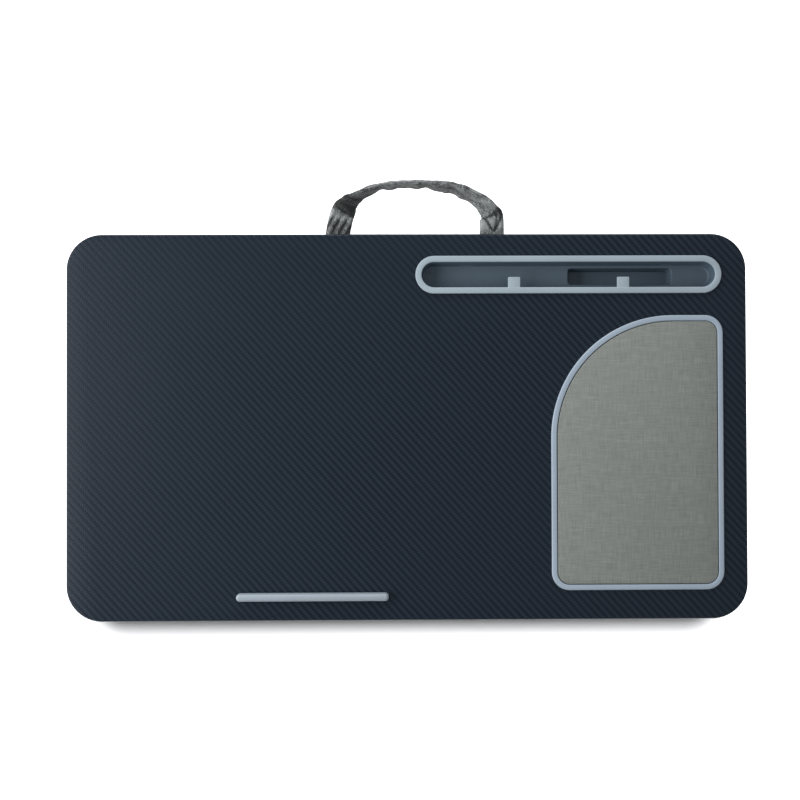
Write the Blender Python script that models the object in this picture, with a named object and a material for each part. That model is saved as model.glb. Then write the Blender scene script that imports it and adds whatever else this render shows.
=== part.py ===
"""Lap desk: a board with a woven-look skin, a sunk device tray, a framed mouse pad, a device
ledge, a sewn carry strap and two bead-filled bolsters that rest on the lap.

Lengths are metres. Places in plan are measured from the middle of the board, +X to the user's
right and +Y to the back edge, where the strap is. The part root then moves everything so that
the origin lies at the bottom centre of the whole object.
"""

import math

import bmesh
import bpy
from mathutils import Vector

# Gaps and overruns
SEAT_GAP = 0.0003
SOFT_CLEARANCE = 0.0005
CUT_OVERRUN = 0.002

# Board
BOARD_LENGTH = 0.536
BOARD_DEPTH = 0.304
BOARD_CORNER_RADIUS = 0.028
BOARD_EDGE_RADIUS = 0.003
CORE_THICKNESS = 0.009
SKIN_THICKNESS = 0.0008

# Device tray, its two tabs, its phone pocket and its snap barbs
TRAY_LENGTH = 0.2414
TRAY_WIDTH = 0.0297
TRAY_RIGHT_MARGIN = 0.0201
TRAY_BACK_MARGIN = 0.0176
TRAY_RIM_WIDTH = 0.0048
TRAY_RIM_THICKNESS = 0.0015
TRAY_RIM_ROUNDING = 0.0006
TRAY_WALL = 0.0015
TRAY_DEPTH = 0.0145
TRAY_FLOOR_FILLET = 0.0016
TRAY_DRAFT = math.radians(5)
TRAY_HOLE_CLEARANCE = 0.0004
TAB_WIDTH = 0.0096
TAB_REACH = 0.0081
TAB_THICKNESS = 0.002
TAB_DROP = 0.0002
TAB_CORNER_RADIUS = 0.0006
TAB_SPACING = 0.086
POCKET_LENGTH = 0.083
POCKET_WIDTH = 0.0131
POCKET_DEPTH = 0.014
POCKET_CORNER_RADIUS = 0.003
BARB_LENGTH = 0.010
BARB_HEIGHT = 0.003
BARB_LIP = 0.0008
BARB_CATCH = 0.0008
BARB_SPACING = 0.160

# Mouse pad
PAD_WIDTH = 0.1359
PAD_LENGTH = 0.2161
PAD_RIGHT_MARGIN = 0.0192
PAD_FRONT_MARGIN = 0.0232
PAD_BIG_RADIUS = 0.0964
PAD_SMALL_RADIUS = 0.014
PAD_BAND = 0.0045
PAD_BAND_ROUNDING = 0.0005
PAD_FRAME_THICKNESS = 0.0012
PAD_LEG_WIDTH = 0.0015
PAD_RECESS_DEPTH = 0.003
PAD_EDGE_CLEARANCE = 0.0008
PAD_BACKING_THICKNESS = 0.0044
PAD_CLOTH_THICKNESS = 0.0008

# Device ledge and its screws
LEDGE_LENGTH = 0.1190
LEDGE_WIDTH = 0.0058
LEDGE_HEIGHT = 0.0075
LEDGE_TOP_ROUNDING = 0.0022
LEDGE_FRONT_MARGIN = 0.0193
LEDGE_CENTRE_X = -0.0748
PEG_RADIUS = 0.0025
PEG_SPACING = 0.090
PEG_DEPTH = 0.0045
PEG_BORE_DEPTH = 0.0055
SCREW_SHANK_RADIUS = 0.0012
SCREW_LENGTH = 0.0075
SCREW_HEAD_RADIUS = 0.0032
SCREW_HEAD_HEIGHT = 0.0018
SCREW_EDGE_ROUNDING = 0.0004
SCREW_RECESS_DEPTH = 0.0024
SCREW_SOCKET_RADIUS = 0.0013
SCREW_SOCKET_DEPTH = 0.001

# Carry strap
STRAP_WIDTH = 0.0195
STRAP_THICKNESS = 0.0042
STRAP_SPACING = 0.1231
STRAP_CENTRE_X = 0.0064
STRAP_REACH = 0.044
STRAP_EDGE_CLEARANCE = 0.0005
STRAP_TAIL_CLEARANCE = 0.0016
STRAP_ARCH_POWER = 2.38
STRAP_TWIST_START_SHARE = 0.16
STRAP_TWIST_END_SHARE = 0.53
STRAP_CHAMFER_SHARE = 0.3

# Bolsters, their inner bags and the padded panel between them
CUSHION_HEIGHT = 0.056
BOLSTER_WIDTH = 0.175
BOLSTER_MARGIN = 0.007
BOLSTER_CORNER_RADIUS = 0.038
BOLSTER_DRAW_IN = 0.004
BOLSTER_WAIST_HEIGHT = 0.025
BOLSTER_BOTTOM_TURN = 0.050
BOLSTER_TOP_TURN = 0.014
BOLSTER_TOP_ANGLE = math.radians(70)
BOLSTER_FLAT_CUT = 0.0005
COVER_THICKNESS = 0.001
FLANGE_THICKNESS = 0.0012
PANEL_THICKNESS = 0.014
PANEL_EDGE_ROUNDING = 0.005
PANEL_CORNER_RADIUS = 0.008
PANEL_CROWN = 0.002
PANEL_CROWN_SHARE = 0.4

# Staples
STAPLE_CROWN = 0.010
STAPLE_WIRE = 0.0008
STAPLE_LEG = 0.006
STRAP_STAPLE_LEG = 0.009
STAPLE_INSET = 0.0042
STAPLES_PER_SIDE = 3
STAPLES_PER_END = 2
STAPLES_PER_STRAP_END = 2

# Counts of straight pieces in each round stretch
BOARD_CORNER_STEPS = 8
BOARD_EDGE_STEPS = 3
ROUND_END_STEPS = 12
SMALL_ARC_STEPS = 2
PAD_BIG_STEPS = 12
PAD_SMALL_STEPS = 5
POCKET_CORNER_STEPS = 3
LEDGE_END_STEPS = 6
LEDGE_TOP_STEPS = 4
ROUND_SIDES = 16
SOCKET_SIDES = 6
STRAP_STATIONS = 34
STRAP_SAMPLES = 600
STRAP_ROOT_STEPS = 3
SOFT_CORNER_STEPS = 4
SOFT_SIDE_STEPS = 4
BOLSTER_LOWER_STEPS = 5
BOLSTER_UPPER_STEPS = 4
PANEL_EDGE_STEPS = 3

QUARTER_TURN = math.pi / 2
SMOOTH_ANGLE = math.radians(35)

# Heights, from the surface that the bolsters stand on
CORE_BOTTOM = CUSHION_HEIGHT + SEAT_GAP
CORE_TOP = CORE_BOTTOM + CORE_THICKNESS
DECK = CORE_TOP + SEAT_GAP + SKIN_THICKNESS
FITTING_BOTTOM = DECK + SEAT_GAP

# Edges of the board
BOARD_RIGHT = BOARD_LENGTH / 2
BOARD_BACK = BOARD_DEPTH / 2


for leftover in list(bpy.data.objects):
    bpy.data.objects.remove(leftover, do_unlink=True)


def material(name, colour, roughness, metallic=0.0):
    """A plain finish for one sub-part."""
    finish = bpy.data.materials.new(name)
    finish.use_nodes = True
    shader = finish.node_tree.nodes["Principled BSDF"]
    shader.inputs["Base Color"].default_value = (*colour, 1.0)
    shader.inputs["Roughness"].default_value = roughness
    shader.inputs["Metallic"].default_value = metallic
    finish.diffuse_color = (*colour, 1.0)
    return finish


def empty(name, location, parent=None):
    """A bare frame that carries other objects."""
    holder = bpy.data.objects.new(name, None)
    bpy.context.scene.collection.objects.link(holder)
    holder.parent = parent
    holder.location = location
    return holder


# The strap reaches past the back edge, so the middle of the whole object lies behind the board's.
PART_ROOT = empty("part_root", (0, -STRAP_REACH / 2, 0))


def loft(name, rings, finish=None, closed=False, parent=PART_ROOT):
    """A solid through rings of equally many points: capped at both ends, or closed on itself.

    Without a finish the solid is a cutter or a building block, which stays out of the render.
    """
    mesh = bpy.data.meshes.new(name)
    shape = bmesh.new()
    loops = []
    for ring in rings:
        loops.append([shape.verts.new(point) for point in ring])
    pairs = list(zip(loops, loops[1:]))
    if closed:
        pairs.append((loops[-1], loops[0]))
    else:
        shape.faces.new(loops[0])
        shape.faces.new(loops[-1])
    for first, second in pairs:
        # Every side face is split along the same diagonal, so that nested layers keep their gap.
        low, high = sorted((first, second), key=lambda ring: ring[0].co.z)
        for index in range(len(low)):
            after = (index + 1) % len(low)
            shape.faces.new((low[index], low[after], high[after]))
            shape.faces.new((low[index], high[after], high[index]))
    bmesh.ops.recalc_face_normals(shape, faces=shape.faces)
    shape.to_mesh(mesh)
    shape.free()
    solid = bpy.data.objects.new(name, mesh)
    bpy.context.scene.collection.objects.link(solid)
    solid.parent = parent
    if finish:
        mesh.materials.append(finish)
        mesh.shade_smooth()
        mesh.set_sharp_from_angle(angle=SMOOTH_ANGLE)
    else:
        solid.hide_render = True
        solid.display_type = "WIRE"
    return solid


def combine(solid, operation, others):
    """Adds shapes to the solid's last Boolean step, or to a new one where the operation changes."""
    step = solid.modifiers[-1] if solid.modifiers else None
    if step is None or step.operation != operation:
        group = f"{solid.name}_{operation.lower()}_{len(solid.modifiers)}"
        step = solid.modifiers.new(group, "BOOLEAN")
        step.operation = operation
        step.solver = "EXACT"
        step.operand_type = "COLLECTION"
        step.collection = bpy.data.collections.new(group)
    for other in others:
        step.collection.objects.link(other)


def cut(solid, *cutters):
    combine(solid, "DIFFERENCE", cutters)


def join(solid, *blocks):
    combine(solid, "UNION", blocks)


def at_height(points, height):
    return [(x, y, height) for x, y in points]


def rounded_outline(left, right, front, back, radii, steps, inset=0.0):
    """A rectangle with corner arcs, anticlockwise from the front right. Insets share the centres."""
    corners = ((right, front, 1, -1), (right, back, 1, 1), (left, back, -1, 1), (left, front, -1, -1))
    points = []
    for quarter, (x, y, to_right, to_back) in enumerate(corners):
        radius = radii[quarter]
        centre_x = x - to_right * radius
        centre_y = y - to_back * radius
        for step in range(steps[quarter] + 1):
            angle = (quarter - 1 + step / steps[quarter]) * QUARTER_TURN
            points.append(
                (
                    centre_x + (radius - inset) * math.cos(angle),
                    centre_y + (radius - inset) * math.sin(angle),
                )
            )
    return points


def obround(x, y, length, width, steps, inset=0.0):
    """A straight-sided outline with half-round ends."""
    points = []
    for end in (1, -1):
        for step in range(steps + 1):
            angle = (step / steps * 2 - end) * QUARTER_TURN
            points.append(
                (
                    x + end * (length - width) / 2 + (width / 2 - inset) * math.cos(angle),
                    y + (width / 2 - inset) * math.sin(angle),
                )
            )
    return points


def disc(x, y, radius, sides=ROUND_SIDES):
    turns = [4 * QUARTER_TURN * side / sides for side in range(sides)]
    return [(x + radius * math.cos(turn), y + radius * math.sin(turn)) for turn in turns]


def prism(name, points, low, high, finish=None):
    """An upright solid over one outline."""
    return loft(name, [at_height(points, low), at_height(points, high)], finish)


def block(name, low, high):
    """A building block between two corners."""
    outline = [(low[0], low[1]), (high[0], low[1]), (high[0], high[1]), (low[0], high[1])]
    return prism(name, outline, low[2], high[2])


def arc_rings(outline_at, inset, height, radius, start, end, steps=SMALL_ARC_STEPS):
    """Rings round an edge. The arc's centre lies at this inset and height, and 0 faces outwards."""
    rings = []
    for step in range(steps + 1):
        angle = start + (end - start) * step / steps
        outline = outline_at(inset - radius * math.cos(angle))
        rings.append(at_height(outline, height + radius * math.sin(angle)))
    return rings


# Board core: a flat panel, cut through for the tray and cut in for the mouse pad
def board_outline(inset):
    return rounded_outline(
        -BOARD_RIGHT,
        BOARD_RIGHT,
        -BOARD_BACK,
        BOARD_BACK,
        (BOARD_CORNER_RADIUS,) * 4,
        (BOARD_CORNER_STEPS,) * 4,
        inset,
    )


def board_edge(inset, top):
    """The rounded top edge of a layer that lies this far inside the board's outside."""
    radius = BOARD_EDGE_RADIUS - inset
    return arc_rings(
        board_outline, inset + radius, top - radius, radius, 0, QUARTER_TURN, BOARD_EDGE_STEPS
    )


CORE_INSET = SKIN_THICKNESS + SEAT_GAP
board_core = loft(
    "board_core",
    [at_height(board_outline(CORE_INSET), CORE_BOTTOM), *board_edge(CORE_INSET, CORE_TOP)],
    material("core_panel", (0.42, 0.31, 0.20), 0.8),
)

# Skin: a thin laminate over the top and down the edges of the core
carbon_laminate = loft(
    "carbon_laminate",
    [
        *reversed(board_edge(SKIN_THICKNESS, DECK - SKIN_THICKNESS)),
        at_height(board_outline(SKIN_THICKNESS), CORE_BOTTOM),
        at_height(board_outline(0), CORE_BOTTOM),
        *board_edge(0, DECK),
    ],
    material("dark_laminate", (0.025, 0.032, 0.045), 0.42),
)

# Device tray: one moulding with a flat rim, a drafted tub, two tabs, a phone pocket and barbs
TRAY_X = BOARD_RIGHT - TRAY_RIGHT_MARGIN - TRAY_LENGTH / 2
TRAY_Y = BOARD_BACK - TRAY_BACK_MARGIN - TRAY_WIDTH / 2
RIM_TOP = FITTING_BOTTOM + TRAY_RIM_THICKNESS
TRAY_FLOOR = RIM_TOP - TRAY_DEPTH
TUB_BOTTOM = TRAY_FLOOR - TRAY_WALL
TUB_INSET = TRAY_RIM_WIDTH - TRAY_WALL
DRAFT_INSET = TRAY_DEPTH * math.tan(TRAY_DRAFT)


def tray_outline(inset):
    return obround(TRAY_X, TRAY_Y, TRAY_LENGTH, TRAY_WIDTH, ROUND_END_STEPS, inset)


device_tray = loft(
    "device_tray",
    [
        at_height(tray_outline(TUB_INSET + DRAFT_INSET), TUB_BOTTOM),
        at_height(tray_outline(TUB_INSET), FITTING_BOTTOM),
        at_height(tray_outline(0), FITTING_BOTTOM),
        *arc_rings(
            tray_outline, TRAY_RIM_ROUNDING, RIM_TOP - TRAY_RIM_ROUNDING, TRAY_RIM_ROUNDING, 0, QUARTER_TURN
        ),
        *arc_rings(
            tray_outline,
            TRAY_RIM_WIDTH - TRAY_RIM_ROUNDING,
            RIM_TOP - TRAY_RIM_ROUNDING,
            TRAY_RIM_ROUNDING,
            QUARTER_TURN,
            2 * QUARTER_TURN,
        ),
        *arc_rings(
            tray_outline,
            TRAY_RIM_WIDTH + DRAFT_INSET + TRAY_FLOOR_FILLET,
            TRAY_FLOOR + TRAY_FLOOR_FILLET,
            TRAY_FLOOR_FILLET,
            0,
            -QUARTER_TURN,
        ),
    ],
    material("tray_plastic", (0.36, 0.42, 0.46), 0.45),
)

TAB_XS = (TRAY_X - TAB_SPACING / 2, TRAY_X + TAB_SPACING / 2)
TAB_ROOT = TRAY_Y - TRAY_WIDTH / 2 + TRAY_RIM_WIDTH
for number, tab_x in enumerate(TAB_XS, start=1):
    tab_outline = rounded_outline(
        tab_x - TAB_WIDTH / 2,
        tab_x + TAB_WIDTH / 2,
        TAB_ROOT - TRAY_WALL / 2,
        TAB_ROOT + TAB_REACH,
        (TAB_CORNER_RADIUS,) * 4,
        (SMALL_ARC_STEPS,) * 4,
    )
    tab_top = RIM_TOP - TAB_DROP
    join(device_tray, prism(f"tray_tab_block_{number}", tab_outline, tab_top - TAB_THICKNESS, tab_top))

POCKET_X = TAB_XS[1]
POCKET_FLOOR = TRAY_FLOOR - POCKET_DEPTH
POCKET_DRAFT_INSET = POCKET_DEPTH * math.tan(TRAY_DRAFT)


def pocket_outline(outset=0.0, inset=0.0):
    """The pocket's mouth, grown by an outset for its outside and drawn in by an inset at its foot."""
    return rounded_outline(
        POCKET_X - POCKET_LENGTH / 2 - outset,
        POCKET_X + POCKET_LENGTH / 2 + outset,
        TRAY_Y - POCKET_WIDTH / 2 - outset,
        TRAY_Y + POCKET_WIDTH / 2 + outset,
        (POCKET_CORNER_RADIUS + outset,) * 4,
        (POCKET_CORNER_STEPS,) * 4,
        inset,
    )


pocket_shell = loft(
    "pocket_shell_block",
    [
        at_height(pocket_outline(TRAY_WALL, POCKET_DRAFT_INSET), POCKET_FLOOR - TRAY_WALL),
        at_height(pocket_outline(TRAY_WALL), TRAY_FLOOR - TRAY_WALL / 2),
    ],
)
pocket_cavity = loft(
    "pocket_cavity_cutter",
    [
        at_height(pocket_outline(inset=POCKET_DRAFT_INSET), POCKET_FLOOR),
        at_height(pocket_outline(), TRAY_FLOOR),
        at_height(pocket_outline(), TRAY_FLOOR + TRAY_FLOOR_FILLET),
    ],
)
join(device_tray, pocket_shell)
cut(device_tray, pocket_cavity)

HOLE_INSET = TUB_INSET - TRAY_HOLE_CLEARANCE
BARB_TIP = TRAY_WIDTH / 2 - HOLE_INSET + BARB_CATCH
BARB_ROOT = TRAY_WIDTH / 2 - TUB_INSET - DRAFT_INSET - TRAY_WALL / 2
BARB_TOP = CORE_BOTTOM - SEAT_GAP
for side in (-1, 1):
    for end in (-1, 1):
        barb_profile = (
            (TRAY_Y + side * BARB_ROOT, BARB_TOP),
            (TRAY_Y + side * BARB_TIP, BARB_TOP),
            (TRAY_Y + side * BARB_TIP, BARB_TOP - BARB_LIP),
            (TRAY_Y + side * BARB_ROOT, BARB_TOP - BARB_HEIGHT),
        )
        barb_x = TRAY_X + end * BARB_SPACING / 2
        barb_sides = (barb_x - BARB_LENGTH / 2, barb_x + BARB_LENGTH / 2)
        barb = loft(
            f"tray_barb_block_{'front' if side < 0 else 'back'}_{'left' if end < 0 else 'right'}",
            [[(x, y, z) for y, z in barb_profile] for x in barb_sides],
        )
        join(device_tray, barb)

tray_hole = prism("tray_hole_cutter", tray_outline(HOLE_INSET), CORE_BOTTOM - CUT_OVERRUN, DECK + CUT_OVERRUN)

# Room for the tub, its barbs and its pocket in the soft pieces below the board
tub_room = prism(
    "tub_room_cutter",
    tray_outline(HOLE_INSET - BARB_CATCH - SOFT_CLEARANCE),
    TUB_BOTTOM - SOFT_CLEARANCE,
    CUSHION_HEIGHT + CUT_OVERRUN,
)
pocket_room = prism(
    "pocket_room_cutter",
    pocket_outline(TRAY_WALL + SOFT_CLEARANCE),
    POCKET_FLOOR - TRAY_WALL - SOFT_CLEARANCE,
    TUB_BOTTOM,
)

# Mouse pad: a frame that clips over the edge of a shallow recess, a rubber backing and a cloth face
PAD_RIGHT = BOARD_RIGHT - PAD_RIGHT_MARGIN
PAD_FRONT = -BOARD_BACK + PAD_FRONT_MARGIN
RECESS_FLOOR = CORE_TOP - PAD_RECESS_DEPTH


def pad_outline(inset):
    """Three small corners and one big one, at the back left, where the hand comes in."""
    return rounded_outline(
        PAD_RIGHT - PAD_WIDTH,
        PAD_RIGHT,
        PAD_FRONT,
        PAD_FRONT + PAD_LENGTH,
        (PAD_SMALL_RADIUS, PAD_SMALL_RADIUS, PAD_BIG_RADIUS, PAD_SMALL_RADIUS),
        (PAD_SMALL_STEPS, PAD_SMALL_STEPS, PAD_BIG_STEPS, PAD_SMALL_STEPS),
        inset,
    )


PAD_FRAME_TOP = FITTING_BOTTOM + PAD_FRAME_THICKNESS
PAD_LEG_FOOT = RECESS_FLOOR + SEAT_GAP
mouse_pad_frame = loft(
    "mouse_pad_frame",
    [
        at_height(pad_outline(0), FITTING_BOTTOM),
        *arc_rings(
            pad_outline, PAD_BAND_ROUNDING, PAD_FRAME_TOP - PAD_BAND_ROUNDING, PAD_BAND_ROUNDING, 0, QUARTER_TURN
        ),
        *arc_rings(
            pad_outline,
            PAD_BAND - PAD_BAND_ROUNDING,
            PAD_FRAME_TOP - PAD_BAND_ROUNDING,
            PAD_BAND_ROUNDING,
            QUARTER_TURN,
            2 * QUARTER_TURN,
        ),
        at_height(pad_outline(PAD_BAND), PAD_LEG_FOOT),
        at_height(pad_outline(PAD_BAND - PAD_LEG_WIDTH), PAD_LEG_FOOT),
        at_height(pad_outline(PAD_BAND - PAD_LEG_WIDTH), FITTING_BOTTOM),
    ],
    material("frame_plastic", (0.30, 0.37, 0.44), 0.45),
    closed=True,
)
pad_recess = prism(
    "pad_recess_cutter",
    pad_outline(PAD_BAND - PAD_LEG_WIDTH - SEAT_GAP),
    RECESS_FLOOR,
    DECK + CUT_OVERRUN,
)
PAD_BACKING_TOP = RECESS_FLOOR + SEAT_GAP + PAD_BACKING_THICKNESS
PAD_CLOTH_BOTTOM = PAD_BACKING_TOP + SEAT_GAP
mouse_pad_backing = prism(
    "mouse_pad_backing",
    pad_outline(PAD_BAND + PAD_EDGE_CLEARANCE),
    RECESS_FLOOR + SEAT_GAP,
    PAD_BACKING_TOP,
    material("pad_rubber", (0.03, 0.03, 0.03), 0.9),
)
mouse_pad_cloth = prism(
    "mouse_pad_cloth",
    pad_outline(PAD_BAND + PAD_EDGE_CLEARANCE),
    PAD_CLOTH_BOTTOM,
    PAD_CLOTH_BOTTOM + PAD_CLOTH_THICKNESS,
    material("pad_cloth", (0.19, 0.21, 0.20), 0.95),
)

# Device ledge: a rounded bar with two pegs, each held by a screw from below
LEDGE_Y = -BOARD_BACK + LEDGE_FRONT_MARGIN
LEDGE_TOP = FITTING_BOTTOM + LEDGE_HEIGHT
PEG_HOLE_FLOOR = CORE_TOP - PEG_DEPTH
PEG_FOOT = PEG_HOLE_FLOOR + SEAT_GAP
SCREW_SEAT = CORE_BOTTOM + SCREW_RECESS_DEPTH


def ledge_outline(inset):
    return obround(LEDGE_CENTRE_X, LEDGE_Y, LEDGE_LENGTH, LEDGE_WIDTH, LEDGE_END_STEPS, inset)


device_ledge = loft(
    "device_ledge",
    [
        at_height(ledge_outline(0), FITTING_BOTTOM),
        *arc_rings(
            ledge_outline,
            LEDGE_TOP_ROUNDING,
            LEDGE_TOP - LEDGE_TOP_ROUNDING,
            LEDGE_TOP_ROUNDING,
            0,
            QUARTER_TURN,
            LEDGE_TOP_STEPS,
        ),
    ],
    material("ledge_rubber", (0.34, 0.41, 0.47), 0.5),
)

screw_steel = material("screw_steel", (0.55, 0.56, 0.58), 0.35, 1.0)
for side, end in (("left", -1), ("right", 1)):
    peg_x = LEDGE_CENTRE_X + end * PEG_SPACING / 2
    peg = prism(
        f"ledge_peg_block_{side}",
        disc(peg_x, LEDGE_Y, PEG_RADIUS),
        PEG_FOOT,
        FITTING_BOTTOM + LEDGE_HEIGHT / 2,
    )
    peg_bore = prism(
        f"peg_bore_cutter_{side}",
        disc(peg_x, LEDGE_Y, SCREW_SHANK_RADIUS + SEAT_GAP),
        PEG_FOOT - CUT_OVERRUN,
        PEG_FOOT + PEG_BORE_DEPTH,
    )
    join(device_ledge, peg)
    cut(device_ledge, peg_bore)
    peg_hole = prism(
        f"peg_hole_cutter_{side}",
        disc(peg_x, LEDGE_Y, PEG_RADIUS + SEAT_GAP),
        PEG_HOLE_FLOOR,
        DECK + CUT_OVERRUN,
    )
    screw_hole = prism(
        f"screw_hole_cutter_{side}",
        disc(peg_x, LEDGE_Y, SCREW_SHANK_RADIUS + SEAT_GAP),
        CORE_BOTTOM - CUT_OVERRUN,
        PEG_HOLE_FLOOR + PEG_DEPTH / 2,
    )
    head_recess = prism(
        f"head_recess_cutter_{side}",
        disc(peg_x, LEDGE_Y, SCREW_HEAD_RADIUS + SEAT_GAP),
        CORE_BOTTOM - CUT_OVERRUN,
        SCREW_SEAT,
    )
    cut(board_core, peg_hole, screw_hole, head_recess)
    cut(carbon_laminate, peg_hole)
    head_top = SCREW_SEAT - SEAT_GAP
    head_bottom = head_top - SCREW_HEAD_HEIGHT
    screw_tip = head_bottom + SCREW_LENGTH
    screw = loft(
        f"ledge_screw_{side}",
        [
            at_height(disc(peg_x, LEDGE_Y, SCREW_HEAD_RADIUS - SCREW_EDGE_ROUNDING), head_bottom),
            at_height(disc(peg_x, LEDGE_Y, SCREW_HEAD_RADIUS), head_bottom + SCREW_EDGE_ROUNDING),
            at_height(disc(peg_x, LEDGE_Y, SCREW_HEAD_RADIUS), head_top),
            at_height(disc(peg_x, LEDGE_Y, SCREW_SHANK_RADIUS), head_top),
            at_height(disc(peg_x, LEDGE_Y, SCREW_SHANK_RADIUS), screw_tip - SCREW_EDGE_ROUNDING),
            at_height(disc(peg_x, LEDGE_Y, SCREW_SHANK_RADIUS - SCREW_EDGE_ROUNDING), screw_tip),
        ],
        screw_steel,
    )
    socket = prism(
        f"screw_socket_cutter_{side}",
        disc(peg_x, LEDGE_Y, SCREW_SOCKET_RADIUS, SOCKET_SIDES),
        head_bottom - CUT_OVERRUN,
        head_bottom + SCREW_SOCKET_DEPTH,
    )
    cut(screw, socket)

cut(board_core, tray_hole, pad_recess)
cut(carbon_laminate, tray_hole, pad_recess)

# Carry strap: a flat fabric band whose legs lie flat and whose top stands on edge
STRAP_Z = CUSHION_HEIGHT - STRAP_THICKNESS / 2
HINGE_Y = BOARD_BACK + STRAP_EDGE_CLEARANCE + STRAP_THICKNESS / 2
ARCH_HEIGHT = BOARD_BACK + STRAP_REACH - STRAP_THICKNESS / 2 - HINGE_Y
hinge = empty("strap_hinge", (STRAP_CENTRE_X, HINGE_Y, STRAP_Z), PART_ROOT)


def arch_point(turn):
    """The strap's middle line, from the left leg over to the right one, as a squared-off arch."""
    across = math.copysign(abs(math.cos(turn)) ** (2 / STRAP_ARCH_POWER), math.cos(turn))
    up = math.sin(turn) ** (2 / STRAP_ARCH_POWER)
    return Vector((-across * STRAP_SPACING / 2, up * ARCH_HEIGHT, 0))


def arch_stations():
    """Evenly spaced places along the arch, each with its share of the way from its nearer leg."""
    half = [arch_point(QUARTER_TURN * step / STRAP_SAMPLES) for step in range(STRAP_SAMPLES + 1)]
    lengths = [0.0]
    for before, after in zip(half, half[1:]):
        lengths.append(lengths[-1] + (after - before).length)
    stations = []
    for number in range(STRAP_STATIONS // 2 + 1):
        share = number / (STRAP_STATIONS // 2)
        index = min(range(len(lengths)), key=lambda i: abs(lengths[i] - share * lengths[-1]))
        along = half[min(index + 1, STRAP_SAMPLES)] - half[max(index - 1, 0)]
        stations.append((half[index], along.normalized(), share))
    mirrored = []
    for place, along, share in reversed(stations[:-1]):
        mirrored.append((Vector((-place.x, place.y, 0)), Vector((along.x, -along.y, 0)), share))
    return stations + mirrored


def band_section(place, along, twist, thickness_share=1.0):
    """The strap's cross-section, a flat bar with cut corners, turned by the twist about its run."""
    outward = Vector((-along.y, along.x, 0))
    up = Vector((0, 0, 1))
    wide = outward * math.cos(twist) + up * math.sin(twist)
    thick = up * math.cos(twist) - outward * math.sin(twist)
    half_width = STRAP_WIDTH / 2
    half_thickness = STRAP_THICKNESS / 2 * thickness_share
    chamfer = STRAP_THICKNESS * STRAP_CHAMFER_SHARE
    flat = half_width - chamfer
    edge = half_thickness * (1 - 2 * STRAP_CHAMFER_SHARE)
    corners = (
        (half_width, -edge),
        (half_width, edge),
        (flat, half_thickness),
        (-flat, half_thickness),
        (-half_width, edge),
        (-half_width, -edge),
        (-flat, -half_thickness),
        (flat, -half_thickness),
    )
    return [place + wide * across + thick * through for across, through in corners]


def twist_at(share):
    """No twist in the legs, a quarter turn over the top and an even turn between."""
    turned = (share - STRAP_TWIST_START_SHARE) / (STRAP_TWIST_END_SHARE - STRAP_TWIST_START_SHARE)
    turned = min(max(turned, 0), 1)
    return QUARTER_TURN * turned * turned * (3 - 2 * turned)


def root_sections(place, along):
    """The half-round root of a leg, about the hinge line, from its tip to the full thickness."""
    sections = []
    for step in range(1, STRAP_ROOT_STEPS + 1):
        angle = QUARTER_TURN * step / (STRAP_ROOT_STEPS + 1)
        back = Vector((0, -math.cos(angle) * STRAP_THICKNESS / 2, 0))
        sections.append(band_section(place + back, along, 0, math.sin(angle)))
    return sections


stations = arch_stations()
upward = Vector((0, 1, 0))
left_leg = root_sections(stations[0][0], upward)
right_leg = root_sections(stations[-1][0], -upward)
strap_rings = left_leg
for number, (place, along, share) in enumerate(stations):
    if number == 0:
        along = upward
    if number == len(stations) - 1:
        along = -upward
    strap_rings.append(band_section(place, along, twist_at(share)))
strap_rings.extend(reversed(right_leg))
strap_fabric = material("strap_fabric", (0.12, 0.13, 0.13), 0.95)
handle_strap = loft("handle_strap", strap_rings, strap_fabric, parent=hinge)

# Sewn ends of the strap, flat under the board, and the room that they take in the soft pieces
TAIL_START = TRAY_Y + TRAY_WIDTH / 2 + STRAP_TAIL_CLEARANCE
TAIL_END = HINGE_Y - STRAP_THICKNESS / 2 - SEAT_GAP
STRAP_BOTTOM = CUSHION_HEIGHT - STRAP_THICKNESS
STRAP_STAPLE_TOP = STRAP_BOTTOM - SEAT_GAP
strap_rooms = []
strap_ends = {}
for side, end in (("left", -1), ("right", 1)):
    leg_x = STRAP_CENTRE_X + end * STRAP_SPACING / 2
    leg_outline = [
        (leg_x - STRAP_WIDTH / 2, TAIL_START),
        (leg_x + STRAP_WIDTH / 2, TAIL_START),
        (leg_x + STRAP_WIDTH / 2, TAIL_END),
        (leg_x - STRAP_WIDTH / 2, TAIL_END),
    ]
    strap_ends[side] = prism(f"handle_end_{side}", leg_outline, STRAP_BOTTOM, CUSHION_HEIGHT, strap_fabric)
    strap_rooms.append(
        block(
            f"strap_room_cutter_{side}",
            (
                leg_x - STRAP_WIDTH / 2 - SOFT_CLEARANCE,
                TAIL_START - SOFT_CLEARANCE,
                STRAP_STAPLE_TOP - STAPLE_WIRE - SOFT_CLEARANCE,
            ),
            (
                leg_x + STRAP_WIDTH / 2 + SOFT_CLEARANCE,
                BOARD_BACK + CUT_OVERRUN,
                CUSHION_HEIGHT + CUT_OVERRUN,
            ),
        )
    )


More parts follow.
